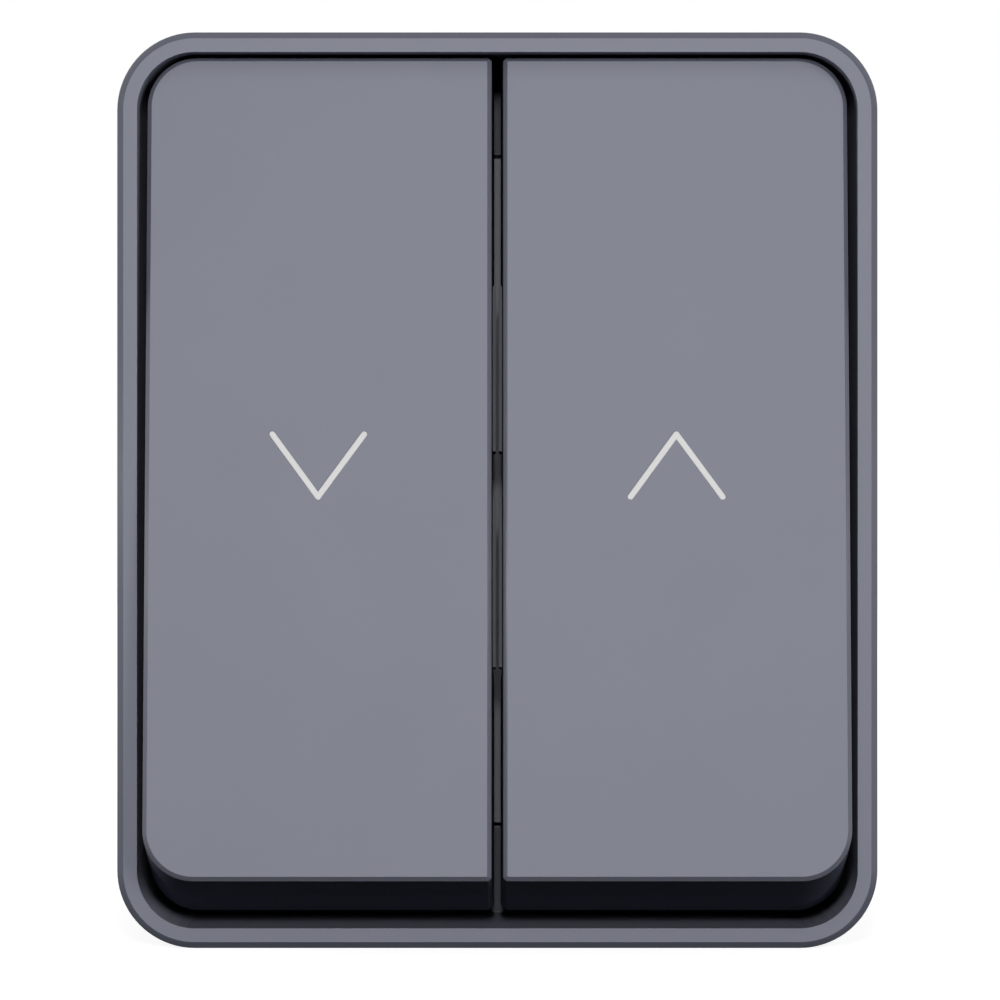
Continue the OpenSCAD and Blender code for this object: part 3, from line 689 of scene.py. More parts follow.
# One grey plastic. Its inner walls, recess floor and chamfers carry painted light and shade: the side
# walls are painted lighter, and the end walls, floor and chamfers darker.
FRAME_PLASTIC = Finish(
    Slot.FRAME, (0.214, 0.2225, 0.279), roughness=0.52, specular=0.3, mottle=0.012, spread=0.04
)
# Side inner walls: matt, and painted lighter for light that enters the recess.
FRAME_WALL_PAINTED_LIGHT = replace(
    FRAME_PLASTIC, colour=(0.3, 0.312, 0.375), roughness=0.7, specular=0, label="frame_wall"
)
# End inner walls: painted shade, darker than the side walls.
FRAME_ENDS_PAINTED_SHADE = replace(FRAME_WALL_PAINTED_LIGHT, colour=(0.17, 0.177, 0.22), label="frame_ends")
# Recess floor: painted shade, darker for the shadow deep in the recess.
FRAME_FLOOR_PAINTED_SHADE = replace(FRAME_WALL_PAINTED_LIGHT, colour=(0.085, 0.088, 0.1), label="frame_floor")
# Chamfers: a glossier grain, with painted shade, a darker tone where the light falls at a slant.
FRAME_CHAMFER_PAINTED_SHADE = replace(
    FRAME_PLASTIC,
    colour=(0.13, 0.138, 0.18),
    roughness=0.25,
    grain=0.15,
    depth=0.005,
    label="frame_chamfer",
)
ROCKER_PLASTIC = replace(FRAME_PLASTIC, slot=Slot.ROCKER)
# Rocker chamfers: a glossier grain, with painted shade, a darker tone where the light falls at a
# slant.
ROCKER_CHAMFER_PAINTED_SHADE = replace(
    FRAME_CHAMFER_PAINTED_SHADE, slot=Slot.ROCKER, colour=(0.145, 0.153, 0.195), label="rocker_chamfer"
)
# Rocker skirts: matt, with painted shade, a darker tone for the shadow along the sides and ends.
ROCKER_SKIRT_PAINTED_SHADE = replace(
    ROCKER_PLASTIC, colour=(0.17, 0.18, 0.235), roughness=0.7, specular=0, label="rocker_skirt"
)
ARROW_PLASTIC = Finish(Slot.ARROW, (0.79, 0.79, 0.785), roughness=0.5, specular=0.3, mottle=0.02)
DARK_PLASTIC = Finish(Slot.DARK, (0.068, 0.072, 0.083), roughness=0.6, depth=0.004)
# Carrier plate: the dark plastic painted lighter, for light that reaches it deep in the recess.
PLATE_PAINTED_LIGHT = replace(DARK_PLASTIC, colour=(0.135, 0.14, 0.155), label="plate_plastic")
HOUSING_PLASTIC = Finish(Slot.HOUSING, (0.03, 0.031, 0.035), roughness=0.5, depth=0.004)
SEAL_RUBBER = Finish(
    Slot.RUBBER,
    (0.018, 0.018, 0.019),
    roughness=0.68,
    specular=0.3,
    grain=0.2,
    depth=0.006,
    mottle=0.12,
)
PLUNGER_PLASTIC = Finish(Slot.PLUNGER, (0.78, 0.76, 0.7), roughness=0.32, depth=0.001)
ZINC_STEEL = Finish(
    Slot.ZINC,
    (0.62, 0.63, 0.65),
    roughness=0.34,
    specular=0.5,
    grain=0.25,
    mottle=0.14,
    spread=0.16,
    metallic=1,
)
SPRING_STEEL = Finish(
    Slot.SPRING,
    (0.5, 0.5, 0.52),
    roughness=0.28,
    specular=0.5,
    grain=0.1,
    depth=0.001,
    mottle=0.1,
    spread=0.1,
    metallic=1,
)
CONTACT_BRASS = Finish(
    Slot.BRASS,
    (0.68, 0.48, 0.2),
    roughness=0.3,
    specular=0.5,
    grain=0.08,
    depth=0.002,
    mottle=0.1,
    spread=0.12,
    metallic=1,
    lines=(1, 1, 0.06),
)
CONTACT_SILVER = replace(
    SPRING_STEEL, slot=Slot.SILVER, colour=(0.82, 0.81, 0.78), roughness=0.26, mottle=0.08
)

CARRIED_NODES: dict[Finish, tuple[str, ...]] = {
    # The carrier plate takes its painted-light tone.
    PLATE_PAINTED_LIGHT: ("carrier_plate",),
    DARK_PLASTIC: ("left_actuator", "right_actuator"),
    HOUSING_PLASTIC: ("mechanism_housing",),
    PLUNGER_PLASTIC: ("left_plunger", "right_plunger"),
    CONTACT_BRASS: (
        "left_lever",
        "right_lever",
        "feed_strip",
        "link_strip",
        "down_strip",
        "up_strip",
    ),
    CONTACT_SILVER: ("left_lever_points", "right_lever_points", "fixed_points"),
    ZINC_STEEL: (
        "feed_clamp",
        "down_clamp",
        "up_clamp",
        "feed_clamp_screw",
        "down_clamp_screw",
        "up_clamp_screw",
    ),
}


@dataclass(frozen=True)
class Layout:
    """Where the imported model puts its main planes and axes, in millimetres.

    Attributes:
        outer: Outline of the frame and of the box.
        spigot: Outline of the box's spigot and of the sealing ring.
        flange: Outline of the carrier plate's clamping flange.
        front: Y of the frame's front face.
        ring_back: Y of the back of the recess floor.
        skirt_back: Y of the frame's back edge.
        pivot: Y of the rockers' pivot axis.
        tilt: Turn of the rockers at rest, in degrees.
    """

    outer: RoundedRect
    spigot: RoundedRect
    flange: RoundedRect
    front: float
    ring_back: float
    skirt_back: float
    pivot: float
    tilt: float

    @classmethod
    def from_frame(cls, joints: Iterable[dict]) -> Layout:
        """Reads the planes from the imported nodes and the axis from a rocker's joint.

        Args:
            joints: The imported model's joints.

        Returns:
            The layout.
        """
        low, high = node_box("front_frame")
        rock = next(joint for joint in joints if joint["name"] == "left_rocker_tilt")
        return cls(
            outer=node_outline("front_frame", radius=7.3),
            spigot=node_outline("sealing_ring", radius=5.1),
            flange=node_outline("carrier_plate", radius=2),
            front=low.y,
            ring_back=node_box("sealing_ring")[0].y,
            skirt_back=high.y,
            pivot=rock["pos_m"][1] / MM,
            tilt=-rock["range_deg"][1] / 2,
        )

    def rocker_place(self) -> Matrix:
        """Placement of a thing drawn about the rockers' pivot axis."""
        turn = Matrix.Rotation(math.radians(self.tilt), 4, "X")
        return Matrix.Translation((0, self.pivot, 0)) @ turn

    def reach(self, node: str, ahead: float) -> float:
        """Half a tilted node's height at its front edge, before the tilt.

        Args:
            node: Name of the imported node.
            ahead: Distance of the edge ahead of the pivot axis.

        Returns:
            The distance from the pivot axis to the edge's end.
        """
        turn = math.radians(self.tilt)
        return (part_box(node)[1].z / MM + ahead * math.sin(turn)) / math.cos(turn)


@dataclass(frozen=True)
class ScrewShape:
    """A cross-slot screw along Y, whose head faces -Y, in millimetres.

    Attributes:
        head_radius: Radius of the head.
        head_height: Height of the head.
        shank_radius: Radius of the shank over its thread.
        length: Length of the shank.
        pitch: Rise of the thread in one turn.
        thread: Depth of the thread.
        recess: Depth of the cross slot.
        arm: Half the width of an arm of the cross slot.
        cross: Reach of the cross slot, as a share of the head's radius.
        crown: Height of the head's crown, as a share of the head's height.
        rim: Width of the slope at the head's edge.
        ridge: Sharpness of the thread, where 1 is a plain V.
        tip: Width of the blunt tip, as a share of the shank.
        rows: Rings of points in one turn of the thread.
    """

    head_radius: float
    head_height: float
    shank_radius: float
    length: float
    pitch: float = 0.9
    thread: float = 0.18
    recess: float = 0.9
    arm: float = 0.3
    cross: float = 0.6
    crown: float = 0.3
    rim: float = 0.12
    ridge: float = 0.8
    tip: float = 0.35
    rows: int = 8

    def _thread_outline(self, y: float) -> Outline:
        """The shank's outline at one height, with a thread that winds round it.

        Args:
            y: Distance below the head.

        Returns:
            The points, which draw in to a blunt tip at the end.
        """
        points = []
        for i in range(SCREW_STEPS):
            turn = i / SCREW_STEPS
            phase = (y / self.pitch - turn) % 1
            radius = self.shank_radius - self.thread * abs(2 * phase - 1) ** self.ridge
            radius *= min(1, self.tip + (self.length - y) / (2 * self.shank_radius))
            points.append((radius * math.cos(math.tau * turn), radius * math.sin(math.tau * turn)))
        return points

    def build(self, name: str) -> Workpiece:
        """Makes one screw with the underside of its head at y = 0.

        Args:
            name: Name of the piece.

        Returns:
            The screw, as one closed solid.
        """
        top = -self.head_height
        crown = self.crown * self.head_height
        profile = (
            (self.head_radius * 0.55, top),
            (self.head_radius * 0.85, top + crown * 0.35),
            (self.head_radius - self.rim, top + crown),
            (self.head_radius, top + crown + 2 * self.rim),
            (self.head_radius, -self.rim),
            (self.head_radius - self.rim, 0),
            (self.shank_radius, 0.001),
        )
        sections = [Section(circle(radius, SCREW_STEPS), y) for radius, y in profile]
        rows = round(self.length / self.pitch * self.rows)
        for row in range(1, rows + 1):
            y = self.length * row / rows
            sections.append(Section(self._thread_outline(y), y))
        screw = Workpiece(name, loft(sections))
        slot = bmesh.new()
        reach = self.head_radius * self.cross
        for x, z in ((reach, self.arm), (self.arm, reach)):
            add_block(slot, (-x, top - PAST, -z), (x, top + self.recess, z))
        screw.cut(Workpiece(name + "_slot", slot))
        return screw


@dataclass(frozen=True)
class ScrewSet:
    """Four like screws at the corners of a rectangle, made by one Geometry Nodes tree.

    Attributes:
        name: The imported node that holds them.
        shape: Shape of one screw.
        seed: Seed of the turns at which their slots stand.
        heads_back: Whether the heads face the wall and not the front.
    """

    name: str
    shape: ScrewShape
    seed: int
    heads_back: bool = False

    def build(self) -> None:
        """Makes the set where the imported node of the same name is."""
        low, high = node_box(self.name)
        head = 2 * self.shape.head_radius
        screw = self.shape.build(self.name + "_pattern")
        screw.obj.data.shade_smooth()
        screw.obj.data.set_sharp_from_angle(angle=math.radians(40))
        tree = GeometryTree(self.name)
        grid = tree.node(
            "GeometryNodeMeshGrid",
            {
                "Size X": tree.length("Spread X", high.x - low.x - head),
                "Size Y": tree.length("Spread Z", high.z - low.z - head),
                "Vertices X": 2,
                "Vertices Y": 2,
            },
        )
        upright = tree.node(
            "GeometryNodeTransform",
            {"Geometry": grid.outputs["Mesh"], "Rotation": (math.radians(90), 0, 0)},
        )
        pattern = tree.node(
            "GeometryNodeObjectInfo",
            {"Object": tree.input("Screw", "Object", screw.obj)},
            transform_space="ORIGINAL",
        )
        turn = tree.node(
            "FunctionNodeRandomValue",
            {"Max": (0, math.tau, 0), "Seed": tree.input("Seed", "Int", self.seed)},
            data_type="FLOAT_VECTOR",
        )
        scatter = tree.node(
            "GeometryNodeInstanceOnPoints",
            {
                "Points": upright.outputs["Geometry"],
                "Instance": pattern.outputs["Geometry"],
                "Rotation": turn.outputs["Value"],
            },
        )
        made = tree.mesh_object(self.name + "_set", scatter.outputs["Instances"], ZINC_STEEL)
        discard(screw.obj)
        place = Matrix.Translation((0, low.y + self.shape.head_height, 0))
        if self.heads_back:
            shift = Matrix.Translation((0, high.y - self.shape.head_height, 0))
            place = shift @ Matrix.Rotation(math.pi, 4, "Z")
        Placed(made, place).fit("casing", self.name)


@dataclass(frozen=True)
class SweptRing:
    """A soft bar that follows a rounded rectangle, made by Geometry Nodes, in millimetres."""

    path: RoundedRect
    section: RoundedRect
    finish: Finish

    def _filleted(
        self, tree: GeometryTree, title: str, shape: RoundedRect, count: int
    ) -> bpy.types.NodeSocket:
        """Adds a rectangle with round corners whose sizes are inputs of the tree.

        Args:
            tree: The tree that grows.
            title: First word of the inputs' names.
            shape: The rectangle.
            count: Steps round each corner.

        Returns:
            The curve.
        """
        sides = {
            "Width": tree.length(title + " width", shape.width),
            "Height": tree.length(title + " height", shape.height),
        }
        outline = tree.node("GeometryNodeCurvePrimitiveQuadrilateral", sides, mode="RECTANGLE")
        corners = {
            "Curve": outline.outputs["Curve"],
            "Count": count,
            "Radius": tree.length(title + " corner", shape.radius),
        }
        return tree.node("GeometryNodeFilletCurve", corners, mode="POLY").outputs["Curve"]

    def build(self, name: str, y: float) -> Placed:
        """Sweeps the section round the path.

        Args:
            name: Name of the piece.
            y: Place of the ring's middle plane along Y.

        Returns:
            The ring, dressed.
        """
        tree = GeometryTree(name)
        curves = {
            "Curve": self._filleted(tree, "Path", self.path, CORNER_STEPS),
            "Profile Curve": self._filleted(tree, "Section", self.section, SECTION_STEPS),
        }
        skin = tree.node("GeometryNodeCurveToMesh", curves)
        made = tree.mesh_object(name, skin.outputs["Mesh"], self.finish)
        upright = Matrix.Rotation(math.radians(90), 4, "X")
        ring = Placed(made, Matrix.Translation((0, y, 0)) @ upright)
        ring.smooth()
        return ring


@dataclass(frozen=True)
class SpringShape:
    """A wound spring with closed ends, in millimetres.

    Attributes:
        radius: Radius of the coil, to the middle of the wire.
        wire: Diameter of the wire.
        turns: Number of turns, with one closed turn at each end.
        length: Length of the coil, between the middles of its end wires.
        turn_steps: Steps in one turn.
        sides: Sides of the wire.
    """

    radius: float = 1.55
    wire: float = 0.4
    turns: float = 7
    length: float = 8.6
    turn_steps: int = 28
    sides: int = 10

    def build(self, name: str) -> bpy.types.Object:
        """Winds the spring along +Z from the origin, by Geometry Nodes.

        Args:
            name: Name of the new object.

        Returns:
            The spring, in metres.
        """
        tree = GeometryTree(name)
        radius = tree.length("Coil radius", self.radius)
        spiral = tree.node(
            "GeometryNodeCurveSpiral",
            {
                "Resolution": self.turn_steps,
                "Rotations": tree.input("Turns", "Float", float(self.turns)),
                "Start Radius": radius,
                "End Radius": radius,
                "Height": 0,
            },
        )
        along = tree.node("GeometryNodeSplineParameter").outputs["Factor"]
        end = 1 / self.turns
        rise = (self.length - 2 * self.wire) * MM
        first = tree.ramp(along, 0, end, high=self.wire * MM)
        middle = tree.ramp(along, end, 1 - end, high=rise)
        last = tree.ramp(along, 1 - end, 1, high=self.wire * MM)
        height = tree.math("ADD", tree.math("ADD", first, middle), last)
        lift = tree.node("ShaderNodeCombineXYZ", {"Z": height})
        raised = tree.node(
            "GeometryNodeSetPosition",
            {"Geometry": spiral.outputs["Curve"], "Offset": lift.outputs[0]},
        )
        section = tree.node(
            "GeometryNodeCurvePrimitiveCircle",
            {"Resolution": self.sides, "Radius": tree.length("Wire radius", self.wire / 2)},
        )
        skin = tree.node(
            "GeometryNodeCurveToMesh",
            {
                "Curve": raised.outputs["Geometry"],
                "Profile Curve": section.outputs["Curve"],
                "Fill Caps": True,
            },
        )
        return tree.mesh_object(name, skin.outputs["Mesh"], SPRING_STEEL)


@dataclass(frozen=True)
class Grommet:
    """A soft cable entry with a stepped membrane, turned about its own axis, in millimetres.

    Attributes:
        name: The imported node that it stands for.
        up: 1 on the top wall and -1 on the bottom wall.
        seat: Height of the box's inner wall above the centre.
        thickness: Thickness of that wall.
        lip: Width of the lip inside the box.
        lip_depth: Depth of that lip.
        membrane: Thickness of the membrane.
        step: Depth of the membrane's middle step.
        ring: Width of the plug's wall.
        slope: Width of the slope between plug and membrane.
        edge: Rounding of the edges.
        fit: Play between the plug and its hole.
    """

    name: str
    up: int
    seat: float
    thickness: float
    lip: float = 1.6
    lip_depth: float = 1.4
    membrane: float = 0.8
    step: float = 1
    ring: float = 1.8
    slope: float = 0.6
    edge: float = 0.22
    fit: float = 0.1

    def build(self) -> None:
        """Lofts the grommet from circles along its axis."""
        low, high = node_box(self.name)
        lip = (high.x - low.x) / 2
        plug = lip - self.lip - self.fit
        bore = plug - self.ring
        nipple = plug / 2
        hollow = nipple - self.membrane
        floor = self.membrane - self.lip_depth
        profile = (
            (hollow, floor - self.step),
            (hollow, floor),
            (bore - self.slope, floor),
            (bore, floor + self.slope),
            (bore, self.thickness),
            (plug, self.thickness),
            (plug, 0),
            (lip, 0),
            (lip, -self.lip_depth),
            (nipple, -self.lip_depth),
            (nipple, -self.lip_depth - self.step),
        )
        upright = Matrix.Rotation(math.radians(90 * self.up), 4, "X")
        place = Matrix.Translation((0, (low.y + high.y) / 2, self.up * self.seat)) @ upright
        solid = loft([Section(circle(radius, GROMMET_STEPS), along) for radius, along in profile])
        grommet = Workpiece(self.name + "_soft", solid, place)
        grommet.soften(self.edge)
        grommet.dress(SEAL_RUBBER)
        grommet.fit("casing", self.name)


@dataclass(frozen=True)
class Casing:
    """The front frame, the back box, the sealing ring between them and the two grommets.

    Attributes:
        layout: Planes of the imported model.
        wall: Thickness of the frame's wall.
        chamfer: Width of the chamfer round the frame's front.
        recess: Depth of the recess, from the front face to its floor.
        lip: Overlap of the recess floor on the carrier plate.
        box_wall: Thickness of the box's wall.
        box_floor: Thickness of the box's floor and of its front shelf.
        rim: Thickness of the box's spigot.
        seam: Gap between frame and box.
        frame_edge: Rounding of the frame's edges.
        box_edge: Rounding of the box's edges.
        seal_edge: Rounding of the sealing ring's section.
        screw_radius: Radius of the frame screws' shanks.
        screw_play: Play of a screw in the frame, to each side.
        pilot_play: Play of a screw in its boss, to each side.
        head_play: Play of a screw's head in its seat, to each side.
        seat_radius: Radius of a head's seat.
        seat_depth: Depth of a head's seat.
        boss_radius: Radius of a screw boss.
        web: Half the thickness of the web that ties a boss to the wall.
        screw_reach: Depth of the hole in a boss.
        wall_hole_x: X of the holes for the wall screws.
        wall_hole_z: Z of those holes.
        wall_hole_radius: Radius of those holes.
        rest: Nearest and farthest Z of the blocks under the carrier plate.
        rest_under: Width of a block under the plate's rim.
    """

    layout: Layout
    wall: float = 1.9
    chamfer: float = 0.6
    recess: float = 21
    lip: float = 2
    box_wall: float = 2.2
    box_floor: float = 2
    rim: float = 2
    seam: float = 0.5
    frame_edge: float = 0.03
    box_edge: float = 0.2
    seal_edge: float = 0.3
    screw_radius: float = 1.2
    screw_play: float = 0.3
    pilot_play: float = 0.05
    head_play: float = 0.15
    seat_radius: float = 2.75
    seat_depth: float = 0.8
    boss_radius: float = 2.7
    web: float = 1
    screw_reach: float = 13
    wall_hole_x: float = 18
    wall_hole_z: float = 33
    wall_hole_radius: float = 2.25
    rest: tuple[float, float] = (14, 22)
    rest_under: float = 1.6

    @property
    def opening(self) -> RoundedRect:
        """Outline of the recess."""
        return self.layout.outer.inset(self.wall)

    @property
    def screw_places(self) -> list[tuple[float, float]]:
        """X and Z of the four frame screws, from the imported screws' own reach.

        Returns:
            The four places.
        """
        _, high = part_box("frame_screws")
        head = self.seat_radius - self.head_play
        return four_corners(high.x / MM - head, high.z / MM - head)

    def build_frame(self) -> None:
        """Lofts the front frame from its wall's section, cuts the screw holes and dresses it."""
        at = self.layout
        floor = at.front + self.recess
        window = RoundedRect(
            at.flange.width - 2 * self.lip, at.flange.height - 2 * self.lip, at.flange.radius
        )
        wall = (
            (self.opening, at.front),
            (self.opening, floor),
            (window, floor),
            (window, at.ring_back),
            (self.opening, at.ring_back),
            (self.opening, at.skirt_back),
            (at.outer, at.skirt_back),
            (at.outer, at.front + self.chamfer),
            (at.outer.inset(self.chamfer), at.front),
        )
        sections = [Section(shape.outline(), y) for shape, y in wall]
        frame = Workpiece("front_frame_shell", loft(sections, closed=True))
        holes = bmesh.new()
        hole_radius = self.screw_radius + self.screw_play
        for x, z in self.screw_places:
            add_rod(holes, (x, floor - PAST, z), (x, floor + self.seat_depth, z), self.seat_radius)
            add_rod(holes, (x, floor, z), (x, at.ring_back + PAST, z), hole_radius)
        frame.cut(Workpiece("frame_holes", holes))
        frame.soften(self.frame_edge, 2)
        self._dress_frame(frame, floor)
        frame.fit("casing", "front_frame")

    def _dress_frame(self, frame: Workpiece, floor: float) -> None:
        """Gives the frame's chamfer, inner walls and recess floor painted light and shade: darker
        chamfers, end walls and floor, and side walls painted lighter.

        Args:
            frame: The finished shell.
            floor: Y of the recess floor.
        """
        frame.dress(FRAME_PLASTIC)
        # Chamfers: painted shade, a darker tone.
        frame.dress_faces(FRAME_CHAMFER_PAINTED_SHADE, lambda face: leans(-face.normal.y))
        # Inner walls are painted in graded steps, from painted shade where they face up or down to
        # painted light where they face the sides.
        for step in range(WALL_STEPS):
            least = step / WALL_STEPS
            tone = FRAME_ENDS_PAINTED_SHADE.towards(FRAME_WALL_PAINTED_LIGHT, step / (WALL_STEPS - 1), f"frame_wall_{step}")
            frame.dress_faces(tone, lambda face: faces_in(face) and abs(face.normal.x) >= least)
        # Recess floor: painted shade, a darker tone.
        deep = (floor - PAST) * MM
        frame.dress_faces(
            FRAME_FLOOR_PAINTED_SHADE, lambda face: face.normal.y < -FACING and face.center.y > deep
        )

    def build_seal(self) -> None:
        """Lays the sealing ring round the box's spigot, in front of it."""
        low, high = node_box("sealing_ring")
        middle = self.layout.spigot.inset(self.rim / 2)
        section = RoundedRect(self.rim, high.y - low.y, self.seal_edge)
        ring = SweptRing(middle, section, SEAL_RUBBER)
        seal = ring.build("sealing_ring_soft", (low.y + high.y) / 2)
        seal.fit("casing", "sealing_ring")

    def build_box(self) -> None:
        """Lofts the back box with its spigot, then adds the bosses and cuts the holes."""
        at = self.layout
        front = at.skirt_back + self.seam
        spigot_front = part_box("sealing_ring")[1].y / MM
        shelf = front + self.box_floor
        cavity = at.outer.inset(self.box_wall)
        neck = at.spigot.inset(self.rim)
        wall = (
            (cavity, -self.box_floor),
            (cavity, shelf),
            (neck, shelf),
            (neck, spigot_front),
            (at.spigot, spigot_front),
            (at.spigot, front),
            (at.outer, front),
            (at.outer, 0),
        )
        sections = [Section(shape.outline(), y) for shape, y in wall]
        box = Workpiece("back_box_shell", loft(sections))
        box.join(Workpiece("box_bosses", self._bosses(cavity, front)))
        box.cut(Workpiece("box_holes", self._box_holes(cavity)))
        box.soften(self.box_edge)
        box.dress(FRAME_PLASTIC)
        box.fit("casing", "back_box")

    def _bosses(self, cavity: RoundedRect, front: float) -> bmesh.types.BMesh:
        """Draws the screw bosses with their webs, and the blocks under the carrier plate.

        Args:
            cavity: Outline of the box's inside.
            front: Y of the box's front edge.

        Returns:
            The solids, which sink into the box's walls and floor.
        """
        at = self.layout
        solid = bmesh.new()
        back = OVERLAP - self.box_floor
        side, end = cavity.width / 2 + OVERLAP, cavity.height / 2 + OVERLAP
        for x, z in self.screw_places:
            add_rod(solid, (x, at.ring_back, z), (x, back, z), self.boss_radius)
            low, high = span(z, math.copysign(end, z))
            add_block(solid, (x - self.web, front, low), (x + self.web, back, high))
        inner = at.flange.width / 2 - self.rest_under
        plate_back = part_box("carrier_plate")[1].y / MM
        for sx, sz in four_corners(1, 1):
            x0, x1 = span(sx * inner, sx * side)
            z0, z1 = span(sz * self.rest[0], sz * self.rest[1])
            add_block(solid, (x0, plate_back, z0), (x1, back, z1))
        return solid

    def _box_holes(self, cavity: RoundedRect) -> bmesh.types.BMesh:
        """Draws the holes for the frame screws, the wall screws and the cable entries.

        Args:
            cavity: Outline of the box's inside.

        Returns:
            The solids, which reach past what they cut.
        """
        at = self.layout
        solid = bmesh.new()
        pilot = self.screw_radius + self.pilot_play
        first, last = at.ring_back - PAST, at.ring_back + self.screw_reach
        for x, z in self.screw_places:
            add_rod(solid, (x, first, z), (x, last, z), pilot)
        inside = -self.box_floor - PAST
        for x, z in four_corners(self.wall_hole_x, self.wall_hole_z):
            add_rod(solid, (x, inside, z), (x, PAST, z), self.wall_hole_radius)
        low, high = node_box("top_grommet")
        y = (low.y + high.y) / 2
        radius = (high.x - low.x) / 2 - Grommet.lip
        start, end = cavity.height / 2 - PAST, at.outer.height / 2 + PAST
        for sz in (-1, 1):
            add_rod(solid, (0, y, sz * start), (0, y, sz * end), radius, GROMMET_STEPS)
        return solid

    def build(self) -> None:
        """Makes every piece of the casing."""
        self.build_frame()
        self.build_seal()
        self.build_box()
        seat = self.layout.outer.height / 2 - self.box_wall
        for name, up in (("top_grommet", 1), ("bottom_grommet", -1)):
            Grommet(name, up, seat, self.box_wall).build()


@dataclass(frozen=True)
class Arrow:
    """The two strokes of a direction arrow that points along +Z, in millimetres."""

    width: float = 8.6
    height: float = 5.9
    stroke: float = 0.56
    depth: float = 0.5
    tip_steps: int = 10
    end_steps: int = 12

    def outline(self, up: bool, grow: float = 0) -> Outline:
        """Goes once round the strokes.

        Args:
            up: Whether the arrow points up.
            grow: Distance by which the outline is moved outwards.

        Returns:
            The points, with round ends and a round tip.
        """
        half = self.stroke / 2 + grow
        lean = math.degrees(math.atan2(self.width / 2, self.height))
        tip = (0.0, self.height / 2)
        ends = (self.width / 2, -self.height / 2), (-self.width / 2, -self.height / 2)
        inner = (0.0, tip[1] - half / math.sin(math.radians(lean)))
        points = arc(tip, half, 180 - lean, lean, self.tip_steps)
        points += arc(ends[0], half, lean, lean - 180, self.end_steps)
        points.append(inner)
        points += arc(ends[1], half, -lean, -lean - 180, self.end_steps)
        sign = 1 if up else -1
        return [(x, sign * z) for x, z in points]


